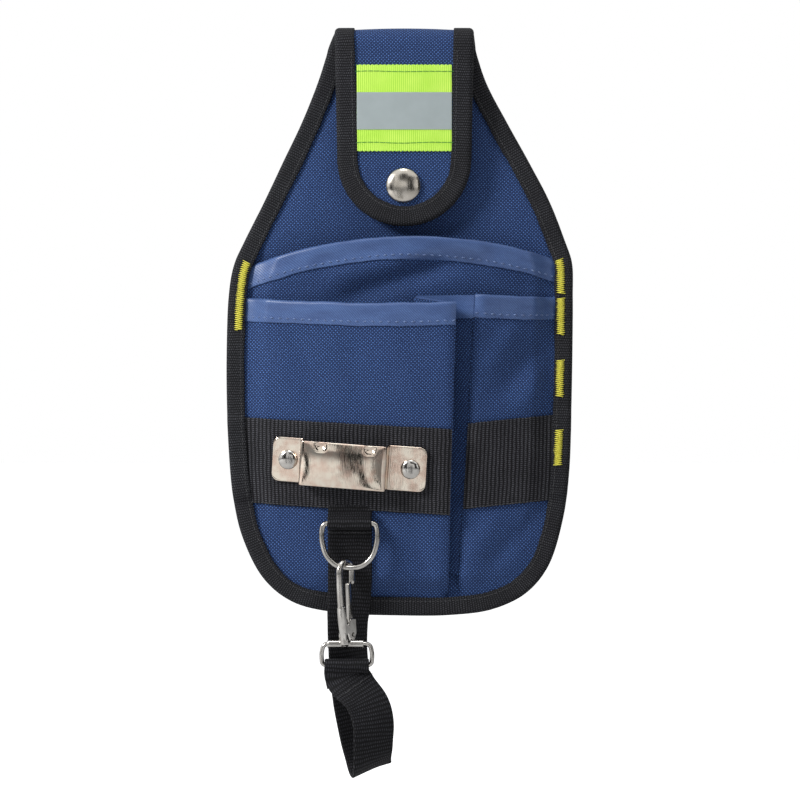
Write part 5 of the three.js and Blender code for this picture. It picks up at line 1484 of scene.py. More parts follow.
def make_clip():
    seat = band_thick + 2 * clear + clip_lift + clip_thick / 2
    left, right = mix(-clip_wide / 2, clip_wide / 2, 0.19), mix(-clip_wide / 2, clip_wide / 2, 0.755)
    high = seat + clip_stand_off
    corners = [(-clip_wide / 2, seat), (left + 0.5, seat), (left + 0.5, high), (right - 0.5, high),
               (right - 0.5, seat), (clip_wide / 2, seat)]
    path = Line(np.array(rounded(corners, 1.3, 8)))
    from_end = np.array([0, 0.1, 0.3, 0.7, 1.3, 2.1, 3.2])
    mids = np.arange(4.0, path.long - 4.0, 0.4)
    stations = np.concatenate([from_end, mids, path.long - from_end[::-1]])

    def place(run, a, proud):
        p, slope = path.at(run / path.long), path.slope(run / path.long)
        end = min(run, path.long - run)
        half = clip_tall / 2
        rounding = math.sqrt(max(0, clip_corner ** 2 - max(0, clip_corner - end) ** 2))
        h = (a - half) * ((half - clip_corner + rounding) / half)
        on_bridge = float(ease(p[1], seat + 5, high))
        lug = sum(math.exp(-(((p[0] - at) / lug_half_wide) ** 4)) for at in lug_places) * on_bridge
        off_middle = (2 * p[0] - left - right) / (right - left)
        dome = 0.85 * (1 - (h / (clip_tall / 2)) ** 2) * (1 - 0.8 * off_middle ** 4) * on_bridge
        dent = -1.0 * lug * np.exp(-(((h - 8.0) / 1.2) ** 2))
        lip = 0.35 * lug * np.exp(-(((h - 9.6) / 0.7) ** 2))
        t = np.full_like(h, p[0]) - slope[1] * proud
        d = np.full_like(h, p[1]) + slope[0] * proud + dome + (dent + lip)
        return on_clip(np.stack([t, -d, h], -1))

    clip = ribbon("tape_clip_plate", stations, clip_tall, -clip_thick / 2, clip_thick / 2, place, stations, 0.6,
                  34)
    fit(clip, clip_steel, "pouch", "polished_metal", "tape_clip")
    head_seat = seat + clip_thick / 2 + 0.1
    for side, name in ((-1, "left"), (1, "right")):
        here = lambda q: on_clip(q + [side * rivet_reach, 0, 0])
        dome = [(4.3 * math.cos(t), head_seat + 0.35 + 1.55 * math.sin(t))
                for t in np.linspace(0, math.pi / 2, 12)]
        tail = -(sheet_thick + 1.1)
        outline = [(0, tail), (1.5, tail), (1.5, head_seat), (4.1, head_seat)] + dome
        rivet = turned("clip_rivet_head_" + name, outline, here)
        fit(rivet, nickel, "pouch", "polished_metal", "clip_rivet_" + name)
        washer_outline = flat_ring(1.7, 4.0, -(sheet_thick + 0.95), -(sheet_thick + 0.25))
        washer = lathe_loop("clip_washer_" + name, washer_outline, here, 36)
        fit(washer, nickel, "pouch", "dark_nickel", "rivet_washer_" + name)


# Snap fastener

snap_seat = shell(snap_x, flap_at(snap_drop), 0)


def on_snap(p):
    """A place in the snap's frame on the front face of the flap, in the pouch's own frame."""
    p = np.asarray(p, float)
    c, s = math.cos(flap_lean), math.sin(flap_lean)
    return snap_seat + np.stack([p[..., 0], p[..., 1] * c - p[..., 2] * s, p[..., 1] * s + p[..., 2] * c], -1)


def on_panel_snap(p):
    return np.asarray(p, float) + [snap_x, 0, -snap_drop]


def make_snap():
    socket_face = -(flap_thick + clear)
    dome = [(7.8 * math.cos(t), 0.75 + 2.75 * math.sin(t)) for t in np.linspace(0, math.pi / 2, 16)]
    rim = [(0, socket_face - 0.6), (1.8, socket_face - 0.6), (1.8, 0.0), (7.2, 0.0), (7.7, 0.25)]
    cap = turned("snap_cap_dome", rim + dome, on_snap, 56)
    fit(cap, cap_pewter, "flap", "polished_metal", "snap_cap")

    back = socket_face - 0.9
    rim_back = socket_face - 3.1
    ring = rounded([(2.1, socket_face), (6.0, socket_face), (6.0, rim_back), (4.9, rim_back),
                    (4.4, socket_face - 1.9), (3.6, rim_back), (2.9, rim_back), (2.9, back), (2.1, back),
                    (2.1, socket_face)], 0.35)
    socket = lathe_loop("snap_socket_ring", ring[:-1], on_snap)
    fit(socket, cap_pewter, "flap", "polished_metal", "snap_socket")

    face = panel_deep + clear
    top = -snap_seat[1] - flap_thick - clear - 0.9 - 0.9
    post = rounded([(1.2, face), (6.0, face), (6.0, face + 0.9), (2.0, face + 0.9), (2.3, top - 0.8),
                    (1.8, top), (1.2, top), (1.2, face)], 0.3)
    stud = lathe_loop("snap_stud_post", post[:-1], on_panel_snap)
    fit(stud, cap_pewter, "pouch", "polished_metal", "snap_stud")
    rear = rounded([(0, top - 0.6), (0.9, top - 0.6), (0.9, -clear), (5.6, -clear), (5.2, -0.9), (0, -0.9)],
                   0.3)
    rear_cap = turned("snap_rear_disc", rear, on_panel_snap)
    fit(rear_cap, cap_pewter, "pouch", "polished_metal", "snap_rear_cap")


# Ring, hook, eye and strap

def make_ring_tab():
    hug = ring_wire / 2 + 0.12 + strap_thick / 2
    far_side = ring_x + strap_wide / 2
    top_z = -(left_band_drop(far_side) + band_tall + 2 * clear)
    u, v = near(left_surface, far_side, top_z)
    rear = float(left_surface(u, v)[2]) + sheet_thick + clear + strap_thick / 2
    front = rear + strap_thick + clear

    def touch(depth, side):
        across, up = depth - bar_deep, top_z - bar_z
        return math.atan2(up, across) + side * math.acos(hug / math.hypot(across, up))

    turns = np.linspace(touch(rear, 1), 2 * math.pi + touch(front, -1), 30)
    round_bar = [(bar_deep + hug * math.cos(t), bar_z + hug * math.sin(t)) for t in turns]
    under = [(rear, top_z + 3.2), (rear, top_z)]
    line = Line(np.array(under + round_bar + [(front, top_z)]))
    stations = line.evenly(0.7) * line.long

    def place(run, a, proud):
        p, slope = line.at(run / line.long), line.slope(run / line.long)
        sway = 0.25 * float(lumps(run, 5.0, 6, 101))
        depth = p[0] - slope[1] * proud
        return np.stack([ring_x + sway + a - strap_wide / 2, -depth, p[1] + slope[0] * proud], -1)

    tab = ribbon("ring_tab_webbing", stations, strap_wide, -strap_thick / 2, strap_thick / 2, place, stations,
                 0.8)
    fit(tab, strap_webbing, "pouch", "black_webbing", "ring_tab")
    return tab, line


ring_shares = [(0, 0), (0.3, 0), (0.6, 0), (0.82, 0), (0.95, 0.04), (1, 0.16), (0.99, 0.42), (0.83, 0.73),
               (0.48, 0.94), (0, 1)]
eye_shares = [(0, 0), (0.4, 0), (0.78, 0), (0.93, 0.1), (1, 0.4), (1, 0.72), (0.97, 0.91), (0.85, 0.99),
              (0.6, 1), (0, 1)]


def mirrored_loop(shares, wide, tall, x, top_z):
    both = shares + [(-a, b) for a, b in shares[1:-1][::-1]]
    return Line(curved([(x + a * wide / 2, -bar_deep, top_z - b * tall) for a, b in both], True, 16))


def make_ring():
    loop = mirrored_loop(ring_shares, ring_wide, ring_tall, ring_x, bar_z)
    fit(wire("d_ring_wire", loop, ring_wire, 0.9, 20, True), nickel, "d_ring", "polished_metal", "d_ring")


hook_x, hook_turn = -24.8, math.radians(56)
hook_seat_z = bar_z - ring_tall
hook_wire, bow_wide, hook_long = 2.9, 9.4, 33.3
shank_long, tip_long = 0.5225 * hook_long, 7.5
crossbar_x, crossbar_long = -24.9, 15.8
gate_thick, gate_foot, gate_across = 2.0, 1.9, 3.6
pivot_z = 3.8 - hook_long
eye_wire, eye_x, eye_wide, eye_tall = 2.0, -24.2, 22, 9.4
crossbar_z = hook_seat_z - hook_long
eye_bar_z = crossbar_z - eye_tall


def on_hook(p):
    """A place in the hook's own frame, in the pouch's."""
    p = np.asarray(p, float)
    c, s = math.cos(hook_turn), math.sin(hook_turn)
    return np.stack([p[..., 0] * c - p[..., 1] * s + hook_x, p[..., 0] * s + p[..., 1] * c - bar_deep,
                     p[..., 2] + hook_seat_z], -1)


def prism(name, outline, deep, place, sharp=38):
    """A flat outline in across and up, given depth both ways."""
    outline = np.array(outline, float)
    front = np.stack([outline[:, 0], np.full(len(outline), -deep / 2), outline[:, 1]], -1)
    rear = front + [0, deep, 0]
    rings = np.stack([place(front), place(rear)])
    run = np.linspace(0, 1, len(outline) + 1)
    uv = np.stack([np.stack([run, np.zeros_like(run)], -1), np.stack([run, np.ones_like(run)], -1)])
    return skin(name, rings, uv, "round", sharp)


def bar(name, radius, start, end, sides=24):
    line = Line(np.array([start, end], float))
    return wire(name, line, 2 * radius, 0.8, sides)


def pivot_bar(name, radius, reach, sides=24):
    """A bar along the gate's pivot, so far to both sides."""
    ends = [on_hook((gate_across, side * reach, pivot_z)) for side in (-1, 1)]
    return bar(name, radius, *ends, sides)


def worked(piece, tools):
    """Joins or cuts a piece with others and works the result into its mesh."""
    for operation, tool in tools:
        step = piece.modifiers.new(tool.name, "BOOLEAN")
        step.operation, step.solver, step.object = operation, "EXACT", tool
    baked(piece)
    for _, tool in tools:
        bpy.data.objects.remove(tool)
    return piece


def make_hook():
    half = bow_wide / 2
    apex = (ring_wire + hook_wire) / 2 + clear
    arc_z = apex - half
    foot_across = -0.66 * half
    bow = [(foot_across - 0.1, 0, -shank_long - 1), (-half + 0.5, 0, mix(-shank_long, arc_z, 0.45))]
    bow += [(half * math.cos(t), 0, arc_z + half * math.sin(t)) for t in np.linspace(math.pi, 0, 13)]
    bow += [(half, 0, -tip_long)]
    line = Line(on_hook(curved(bow, fine=12)))
    shares = line.evenly(0.6)
    to_tip = line.long * (1 - shares)
    round_end = 0.55 + 0.45 * np.sqrt(np.clip(1 - (1 - to_tip / 1.4) ** 2, 0, 1))
    thick = hook_wire * np.where(to_tip < 1.4, round_end, 1)
    bow_piece = wire("hook_bow", line, thick, 0.6, 20)
    sleeve_route = [(foot_across, 0, 0.4 - shank_long), (-0.6 * half, 0, -0.62 * hook_long),
                    (-0.36 * half, 0, -0.8 * hook_long), (-0.1 * half, 0, -0.93 * hook_long),
                    (0, 0, -hook_long)]
    sleeve_line = Line(on_hook(curved(sleeve_route)))
    steps = np.linspace(0, 1, len(sleeve_line.evenly(0.6)))
    sleeve = wire("hook_sleeve", sleeve_line, 3.8 + 0.3 * steps + 1.3 * ease(steps, 0.7, 1), 0.6, 24)
    body_shares = [(-0.5, 0.7), (-0.05, 0.765), (0.3, 0.67), (1.15, 0.67), (1.26, 0.87), (0.9, 0.965),
                   (0.35, 1.02), (-0.35, 1.02), (-0.55, 0.9)]
    corners = [(a * half, -b * hook_long) for a, b in body_shares]
    soft = rounded(corners + corners[:1], 0.8, 5)[:-1]
    body = prism("snap_hook_cast", soft, 3.7, on_hook)
    spin = np.array([math.cos(-hook_turn), math.sin(-hook_turn), 0])
    middle_bar = np.array([(crossbar_x - hook_x) * spin[0], (crossbar_x - hook_x) * spin[1], -hook_long])
    ends = [on_hook(middle_bar + spin * e) for e in (-crossbar_long / 2, crossbar_long / 2)]
    crossbar = bar("hook_crossbar", 1.85, *ends)
    far = [on_hook(middle_bar + spin * e) for e in (-crossbar_long, crossbar_long)]
    bore = bar("hook_bore", eye_wire / 2 + clear, *far)
    slot_from = gate_across - gate_foot - 0.35 - 3 * clear
    slot_to = 1.26 * half + 2
    low, high = pivot_z - gate_foot - clear, 2 - 0.67 * hook_long
    slot = prism("hook_slot", [(slot_from, low), (slot_to, low), (slot_to, high), (slot_from, high)],
                 gate_thick + 2 * clear, on_hook)
    pin_hole = pivot_bar("hook_pin_hole", 1.0, 4)
    added, cut = (crossbar, sleeve, bow_piece), (bore, slot, pin_hole)
    hook = worked(body, [("UNION", tool) for tool in added] + [("DIFFERENCE", tool) for tool in cut])
    melt = hook.modifiers.new("melt", "REMESH")
    melt.mode, melt.voxel_size, melt.use_smooth_shade = "VOXEL", 0.24 * MM, True
    calm_down = hook.modifiers.new("calm", "SMOOTH")
    calm_down.factor, calm_down.iterations = 0.5, 3
    baked(hook)
    hook.data.shade_smooth()
    fit(hook, nickel, "hook", "polished_metal", "snap_hook")
    fit(pivot_bar("hook_gate_pin", 0.7, 2.15, 20), nickel, "hook", "dark_nickel", "gate_pin")


def make_gate():
    half = bow_wide / 2
    rest_across = half - hook_wire / 2 - clear - gate_thick / 2
    leaf = np.array([rest_across - gate_across, -6.2 - pivot_z])
    lean, long = math.atan2(leaf[1], leaf[0]), float(np.hypot(*leaf))

    def along(reach, side):
        return (gate_across + reach * math.cos(lean) - side * math.sin(lean),
                pivot_z + reach * math.sin(lean) + side * math.cos(lean))

    edge_half = gate_thick / 2
    outline = [along(gate_foot * math.cos(t), gate_foot * math.sin(t))
               for t in np.linspace(-math.pi / 5, -1.8 * math.pi, 22)]
    outline += [along(gate_foot + 0.6, edge_half), along(long - edge_half, edge_half), along(long - 0.3, 0.3),
                along(long - 0.3, -0.3), along(long - edge_half, -edge_half),
                along(gate_foot + 0.6, -edge_half)]
    plate = prism("hook_gate_leaf", outline, gate_thick, on_hook)
    gate = worked(plate, [("DIFFERENCE", pivot_bar("gate_hole", 1.0, 3))])
    soften = gate.modifiers.new("soften", "BEVEL")
    soften.width, soften.segments = 0.25 * MM, 3
    soften.limit_method, soften.angle_limit = "ANGLE", math.radians(40)
    baked(gate)
    gate.data.shade_smooth()
    gate.data.set_sharp_from_angle(angle=math.radians(50))
    fit(gate, nickel, "gate", "polished_metal", "hook_gate")
    spring_wide, spring_thick = 1.4, 0.35
    spring_x = gate_across - gate_foot - clear - spring_thick / 2
    bend = Line(curved([(spring_x, 0, pivot_z - 0.76), (spring_x, 0, pivot_z + 1),
                        (spring_x - 0.1, 0, pivot_z + 3.2)]))
    stations = bend.evenly(0.4) * bend.long

    def place(run, a, proud):
        p, slope = bend.at(run / bend.long), bend.slope(run / bend.long)
        return on_hook(np.stack([p[0] + slope[2] * proud, a - spring_wide / 2, p[2] - slope[0] * proud], -1))

    spring = ribbon("gate_leaf_spring", stations, spring_wide, -spring_thick / 2, spring_thick / 2, place,
                    stations, 0.4)
    fit(spring, nickel, "hook", "dark_nickel", "gate_spring")


def make_eye():
    loop = mirrored_loop(eye_shares, eye_wide, eye_tall, eye_x, crossbar_z)
    fit(wire("eye_wire_loop", loop, eye_wire, 0.7, 18, True), nickel, "eye", "polished_metal", "eye_loop")


# The free route of the long strap: shares of the strap width to the side, of the bar depth, of the loop
# drop, and of the twist and the tilt that the bottom turn has.
strap_route = [
    (0, 0.795, 0.004, 0, 0), (0, 0.76, 0.06, 0, 0), (0, 0.7, 0.12, 0, 0), (0, 0.665, 0.18, 0, 0),
    (-0.01, 0.625, 0.3, 0.25, 0), (-0.05, 0.6, 0.41, 0.9, 0), (-0.05, 0.57, 0.52, 1.1, 0),
    (-0.01, 0.55, 0.62, 1, 0.15), (0.085, 0.54, 0.745, 0.9, 0.4), (0.26, 0.56, 0.9, 0.95, 0.8),
    (0.4, 0.72, 0.975, 1, 1), (0.485, 1, 1, 1, 1), (0.525, 1.26, 0.965, 1, 1), (0.545, 1.4, 0.885, 1, 0.9),
    (0.54, 1.41, 0.8, 0.95, 0.7), (0.41, 1.3, 0.725, 0.75, 0.4), (0.09, 1.1, 0.658, 0.15, 0.06),
]


strap_drop, strap_twist, strap_tilt = 107.4, math.radians(28), math.radians(17)


def make_strap():
    hug = eye_wire / 2 + 0.6 + strap_thick / 2
    pair = strap_thick / 2 + clear / 2
    route = [(ring_x + a * strap_wide, -d * bar_deep, bar_z - f * strap_drop, strap_twist * twist,
              strap_tilt * tilt) for a, d, f, twist, tilt in strap_route]
    route.append((eye_x, -(bar_deep + pair), eye_bar_z - 2 * hug, 0, 0))
    for t in np.linspace(0, math.pi, 7):
        route.append((eye_x, -(bar_deep + hug * math.cos(t)), eye_bar_z + hug * math.sin(t), 0, 0))
    route.append((eye_x, -(bar_deep - pair), eye_bar_z - 2 * hug, 0, 0))
    route.append((eye_x + 0.8, -(bar_deep - pair), eye_bar_z - 8.4, 0.08, 0.02))
    route = np.array(route)
    fine = 12
    dense = curved(route[:, :3], fine=fine)
    index = np.arange(len(dense)) / fine
    turn = np.interp(index, np.arange(len(route)), route[:, 3])
    lift = np.interp(index, np.arange(len(route)), route[:, 4])
    line = Line(dense)
    stations = line.evenly(1.0) * line.long

    def place(run, a, proud):
        share = run / line.long
        p, slope = line.at(share), line.slope(share)
        t, l = np.interp(share, line.share, turn), np.interp(share, line.share, lift)
        wide = np.array([math.cos(t) * math.cos(l), math.sin(t) * math.cos(l), math.sin(l)])
        wide = unit(wide - slope * (wide @ slope))
        out = np.cross(slope, wide)
        across = (a - strap_wide / 2) * (1 + 0.008 * float(lumps(run, 2.0, 8, 111)))
        cup = 0.25 * (1 - (2 * across / strap_wide) ** 2) * float(lumps(run, 9.0, 18, 112))
        return p + across[:, None] * wide + (np.asarray(proud) + cup)[:, None] * out

    strap = ribbon("loop_strap_webbing", stations, strap_wide, -strap_thick / 2, strap_thick / 2, place,
                   stations, 0.8)
    fit(strap, strap_webbing, "strap", "black_webbing", "loop_strap")
    return strap, line, place


# Sewing, made by Geometry Nodes

class Sewing(Nodes):
    """A Geometry Nodes tree that turns a line into thread. Its sizes are named inputs."""

    def __init__(self, name, sizes):
        self.tree = bpy.data.node_groups.new(name, "GeometryNodeTree")
        face = self.tree.interface
        face.new_socket("Line", in_out="INPUT", socket_type="NodeSocketGeometry")
        for label, kind in sizes:
            face.new_socket(label, in_out="INPUT", socket_type="NodeSocket" + kind)
        face.new_socket("Thread", in_out="OUTPUT", socket_type="NodeSocketGeometry")
        self.given = self.tree.nodes.new("NodeGroupInput").outputs
        self.end = self.tree.nodes.new("NodeGroupOutput")

    def read(self, name):
        named = self.add("GeometryNodeInputNamedAttribute", {"Name": name}, data_type="FLOAT_VECTOR")
        return named.outputs[0]

    def finish(self, geometry):
        real = self.add("GeometryNodeRealizeInstances", {0: geometry})
        smooth = self.add("GeometryNodeSetShadeSmooth", {0: real.outputs[0]})
        dyed = self.add("GeometryNodeSetMaterial", {0: smooth.outputs[0], "Material": self.given["Dye"]})
        self.tree.links.new(dyed.outputs[0], self.end.inputs[0])
        return self.tree


def bar_tack_tree():
    """Thread sewn to and fro across a line: a point's place in its stroke says how far it is to the side."""
    t = Sewing("bar_tack", [("Stroke", "Float"), ("Half width", "Float"), ("Thickness", "Float"),
                            ("Rise", "Float"), ("Dye", "Material")])
    curve = t.add("GeometryNodeMeshToCurve", {0: t.given["Line"]}).outputs[0]
    step = t.do("DIVIDE", t.given["Stroke"], 5.0)
    fine = t.add("GeometryNodeResampleCurve", {0: curve, "Length": step}, mode="LENGTH").outputs[0]
    index = t.add("GeometryNodeInputIndex").outputs[0]
    across = t.do("MULTIPLY_ADD", t.do("PINGPONG", t.do("DIVIDE", index, 5.0), 1.0), 2.0, -1.0)
    wild = t.add("FunctionNodeRandomValue", {2: 0.86, 3: 1.08, "Seed": 7}, data_type="FLOAT").outputs[1]
    side = t.scaled(t.read("side"), t.do("MULTIPLY", across, t.do("MULTIPLY", t.given["Half width"], wild)))
    arched = t.do("SUBTRACT", 1.0, t.do("POWER", t.do("ABSOLUTE", across), 3.0))
    out = t.scaled(t.read("out"), t.do("MULTIPLY", arched, t.given["Rise"]))
    moved = t.add("ShaderNodeVectorMath", {0: side, 1: out}, operation="ADD").outputs[0]
    laid = t.add("GeometryNodeSetPosition", {0: fine, "Offset": moved}).outputs[0]
    thread = t.add("GeometryNodeCurvePrimitiveCircle", {"Resolution": 6, "Radius": t.given["Thickness"]})
    tack = t.add("GeometryNodeCurveToMesh", {0: laid, 1: thread.outputs[0], "Fill Caps": True})
    return t.finish(tack.outputs[0])


def stitch_row_tree():
    """A row of small arched stitches that lie along a line and face out of the cloth."""
    t = Sewing("stitch_row", [("Pitch", "Float"), ("Long", "Float"), ("Thickness", "Float"),
                              ("Rise", "Float"), ("Stray", "Float"), ("Seed", "Int"), ("Dye", "Material")])
    curve = t.add("GeometryNodeMeshToCurve", {0: t.given["Line"]}).outputs[0]
    pitched = t.add("GeometryNodeResampleCurve", {0: curve, "Length": t.given["Pitch"]}, mode="LENGTH")
    half = t.do("MULTIPLY", t.given["Long"], 0.5)
    low = t.do("MULTIPLY", t.given["Rise"], -1.0)
    place = lambda x, z: t.add("ShaderNodeCombineXYZ", {0: x, 2: z}).outputs[0]
    arch = t.add("GeometryNodeCurveQuadraticBezier", {
        "Resolution": 4, "Start": place(t.do("MULTIPLY", half, -1.0), low),
        "Middle": place(0.0, t.do("MULTIPLY", t.given["Rise"], 2.0)), "End": place(half, low)}).outputs[0]
    thread = t.add("GeometryNodeCurvePrimitiveCircle", {"Resolution": 5, "Radius": t.given["Thickness"]})
    stitch = t.add("GeometryNodeCurveToMesh", {0: arch, 1: thread.outputs[0], "Fill Caps": True})
    tangent = t.add("GeometryNodeInputTangent").outputs[0]
    lying = t.add("FunctionNodeAlignRotationToVector", {"Vector": tangent}, axis="X").outputs[0]
    facing = t.add("FunctionNodeAlignRotationToVector", {"Rotation": lying, "Vector": t.read("out")}, axis="Z",
                   pivot_axis="X").outputs[0]
    less = t.do("MULTIPLY", t.given["Stray"], -1.0)
    spin = t.add("FunctionNodeRandomValue", {2: less, 3: t.given["Stray"], "Seed": t.given["Seed"]},
                 data_type="FLOAT").outputs[1]
    turn = t.add("FunctionNodeEulerToRotation", {0: t.add("ShaderNodeCombineXYZ", {2: spin}).outputs[0]})
    turned_to = t.add("FunctionNodeRotateRotation", {0: facing, 1: turn.outputs[0]}, rotation_space="LOCAL")
    placed = t.add("GeometryNodeInstanceOnPoints", {"Points": pitched.outputs[0], "Instance": stitch.outputs[0],
                                                         "Rotation": turned_to.outputs[0]})
    return t.finish(placed.outputs[0])


tack_tree, row_tree = bar_tack_tree(), stitch_row_tree()


def sewn(name, tree, points, side, out, sizes, dye, body, slot, *nodes):
    """Runs a sewing tree along a line of points and keeps its result as a plain mesh."""
    points = np.asarray(points, float)
    mesh = bpy.data.meshes.new(name)
    mesh.from_pydata((points * MM).tolist(), [(k, k + 1) for k in range(len(points) - 1)], [])
    for label, vectors in (("side", side), ("out", out)):
        layer = mesh.attributes.new(label, "FLOAT_VECTOR", "POINT")
        layer.data.foreach_set("vector", np.broadcast_to(vectors, points.shape).ravel().astype(np.float32))
    piece = new_object(name, mesh)
    step = piece.modifiers.new("sewing", "NODES")
    step.node_group = tree
    sockets = {item.name: item.identifier for item in tree.interface.items_tree if item.in_out == "INPUT"}
    for label, value in {**sizes, "Dye": dye}.items():
        step[sockets[label]] = value
    baked(piece)
    return fit(piece, dye, body, slot, *nodes)


to_viewer = np.array([0, -1, 0])


def stitch_row(name, points, pitch, long, thick, dye, body, slot, stray=0.06, seed=1, rise=0.16):
    """Stitches along a line that face the viewer, in millimetres: their pitch, length, thickness and rise."""
    sizes = {"Pitch": pitch * MM, "Long": long * MM, "Thickness": thick * MM, "Rise": rise * MM,
             "Stray": float(stray), "Seed": seed}
    return sewn(name, row_tree, points, (1, 0, 0), to_viewer, sizes, dye, body, slot)


def sew_hems():
    for seed, (side, (surface, relief, _, _)) in enumerate(pocket_kinds.items()):
        u = np.linspace(*mouth_run(side, stitch_reach, 0.99, 0.03), 120)
        x, z, _ = surface(u, np.ones_like(u))
        drift = 0.25 * lumps(x, z, 12, 120 + seed)
        line = hem_place(surface, relief, u, 2.0 - hem_tall + drift, 1.98)
        stitch_row(side + "_hem_stitches", line, 3.5, 1.25, 0.3, navy_thread, "pouch", "hem_tape", 0.35,
                   seed + 1, 0.3)


def sew_flap():
    for seed, drop in enumerate((16.5, 47.9)):
        x = np.linspace(flap_centre_x - 20.4, flap_centre_x + 20.4, 60)
        s = flap_at(drop) + 0.3 * lumps(x, x * 0 + drop, 14, 130)
        line = shell(x, s, 0.92 + flap_puff(x, s))
        stitch_row("lime_tape_stitches_" + str(seed + 1), line, 2.7, 2.5, 0.16, green_thread, "flap",
                   "hi_vis_tape", 0.03, seed + 5, 0.1)


def sew_bindings(panel_tape, flap_tape_line):
    line, place = panel_tape
    share = np.linspace(0, 1, 900)
    s = line.at(share)[:, 1]
    share = share[s < -1.5]
    low = place(share, 6.6 + 0 * share, 0.02)
    stitch_row("binding_stitches", low, 1.75, 1.25, 0.16, black_thread, "pouch", "black_binding", 0.1, 9)
    line, place = flap_tape_line
    share = np.linspace(0, 1, 700)
    s = line.at(share)[:, 1]
    share = share[s > rise_long + arc_long + 3]
    points = place(share, 7.3 + 0 * share, 0.02)
    stitch_row("flap_binding_stitches", points, 1.75, 1.25, 0.16, black_thread, "flap", "black_binding", 0.1,
               10)


left_tack_drops = [(share_of_height(0.3818), share_of_height(0.5064))]
right_tack_drops = [tuple(share_of_height(a) for a in pair) for pair in
                    ((0.3795, 0.4439), (0.4517, 0.5153), (0.5588, 0.6224), (0.6791, 0.7412))]


def sew_tacks(panel_tape):
    line, place = panel_tape
    share = np.linspace(0, 1, 4000)
    at = line.at(share)
    cut = int(np.argmin(at[:, 1]))
    places = [("bar_tack_left", -1, 5.3, left_tack_drops[0])]
    places += [("bar_tack_right_" + str(k + 1), 1, 5.6, pair) for k, pair in enumerate(right_tack_drops)]
    for name, side, inset, (top, low) in places:
        half = slice(0, cut) if side < 0 else slice(cut, None)
        drops, run = -(at[half, 1] - hinge_drop + clear), share[half]
        order = np.argsort(drops)
        here = np.interp(np.linspace(top, low, 90), drops[order], run[order])
        reach = inset + 0.12 * lumps(np.linspace(0, 9, 90), 3.0, 2, 140)
        points = place(here, reach, 0.12)
        inward = unit(place(here, reach + 0.5, 0.12) - points)
        sizes = {"Stroke": 0.45 * MM, "Half width": 1.9 * MM, "Thickness": 0.21 * MM, "Rise": 0.42 * MM}
        sewn(name + "_thread", tack_tree, points, inward, to_viewer, sizes, yellow_thread, "pouch",
             "yellow_thread", name)


def sew_webbing():
    v = np.linspace(0.02, 0.98, 200)
    for side, drop, u, seed in (("left", left_band_drop, np.linspace(0.09, 0.985, 140), 21),
                                ("right", right_band_drop, np.linspace(0.03, 0.8, 80), 22)):
        surface, relief, _, _ = pocket_kinds[side]
        points = []
        for share in u:
            px, pz, _ = surface(np.full_like(v, share), v)
            low = -float(drop(np.interp(0.5, v, px))) - band_tall + 0.5
            row = np.interp(low, pz, v)
            qx, qz, depth = surface(np.array(share), np.array(row))
            points.append((float(qx), -float(depth + relief(qx, qz) + sheet_thick + 1.5), float(qz)))
        stitch_row("band_" + side + "_bites", points, 1.5, 1.3, 0.15, black_thread, "pouch",
                   "black_webbing", 0.5, seed, 0.25)


def sew_strap(place, line):
    """Fuzzy cut ends: where the strap starts, and where it is turned back."""
    across = np.linspace(0.3, strap_wide - 0.3, 60)
    runs = np.linspace(0, line.long, 1500)
    points = line.at(runs / line.long)
    start = place(runs[30], across, strap_thick / 2)
    stitch_row("strap_end_fray", start + [0, -0.1, 0], 0.42, 1.3, 0.09, black_thread, "strap", "black_webbing",
               1.3, 31, 0.2)
    front = points[:, 1] < -(bar_deep - 2)
    low = np.argmin(np.abs(points[:, 2] - (eye_bar_z - 9.3)) + 100 * ~front)
    seam = place(runs[low], across, -strap_thick / 2)
    behind = place(runs[low], across, strap_thick / 2)
    nearer = seam if seam[:, 1].mean() < behind[:, 1].mean() else behind
    sway = np.stack([0 * across, 0 * across - 0.08, 0.5 * lumps(across, 2.0, 5, 150)], -1)
    stitch_row("strap_seam_fray", nearer + sway, 0.5, 1.4, 0.1, black_thread, "strap", "black_webbing", 0.8, 32,
               0.2)


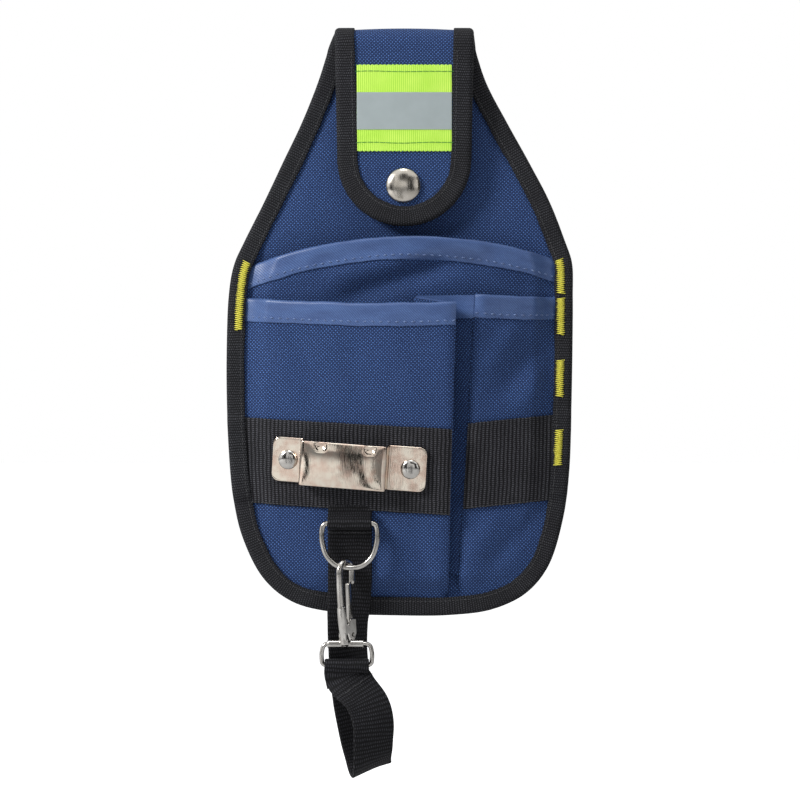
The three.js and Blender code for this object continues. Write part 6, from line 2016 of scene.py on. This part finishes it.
rear_cloth = make_rear_cloth()
fold_pad = make_fold_pad()
binding_tape, panel_tape_face = make_panel_binding()
panel_pad = make_panel_pad()
flap_cloths = make_flap()
flap_tape_face = make_flap_binding()
make_flap_tapes()
pockets = make_pockets()
pleats = make_pleat()
bands = make_bands()
make_clip()
make_snap()
ring_tab, tab_line = make_ring_tab()
make_ring()
make_hook()
make_gate()
make_eye()
strap, strap_line, strap_place = make_strap()
sew_hems()
sew_flap()
sew_bindings(panel_tape_face, flap_tape_face)
sew_tacks(panel_tape_face)
sew_webbing()
sew_strap(strap_place, strap_line)


def cut_area(piece):
    """The flat area of a cloth in square metres: half of all its faces, as it has two sides."""
    return sum(face.area for face in piece.data.polygons) / 2


def cut_sheet(piece, wide, tall):
    """Works out the area that a cloth has, no more than its flat cut in millimetres, and keeps nothing of it.
    """
    area = min(cut_area(piece), wide * tall * MM * MM)


def arc(surface, along_u, at):
    """The length of a line across or up a pocket's surface."""
    t = np.linspace(0, 1, 200)
    x, z, depth = surface(t, np.full(200, at)) if along_u else surface(np.full(200, at), t)
    return Line(np.stack([x, depth, z], -1)).long


back_wide, back_tall = arc(back_surface, True, 0.8), arc(back_surface, False, 0.5)
left_wide, left_tall = arc(left_surface, True, 0.7), arc(left_surface, False, 0.5)
right_wide, right_tall = arc(right_surface, True, 0.7), arc(right_surface, False, 0.6)
cut_sheet(rear_cloth, pouch_wide, pouch_tall + arc_top)
cut_sheet(flap_cloths[0], 2 * flap_half_top, flap_long - arc_top)
cut_sheet(flap_cloths[1], 2 * flap_half_top, flap_long - arc_top)
cut_sheet(pockets["back"], back_wide, back_tall)
cut_sheet(pockets["left"], left_wide, left_tall)
cut_sheet(pockets["right"], right_wide, right_tall)
pleat_wide = Line(pleat_line(1)).long
cut_sheet(pleats[0], pleat_wide, pleat_line(1)[0, 2] - pleat_line(0)[0, 2])
cut_sheet(strap, strap_wide, strap_line.long)
cut_sheet(ring_tab, strap_wide, tab_line.long)

for piece in (rear_cloth, fold_pad, binding_tape):
    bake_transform(piece)
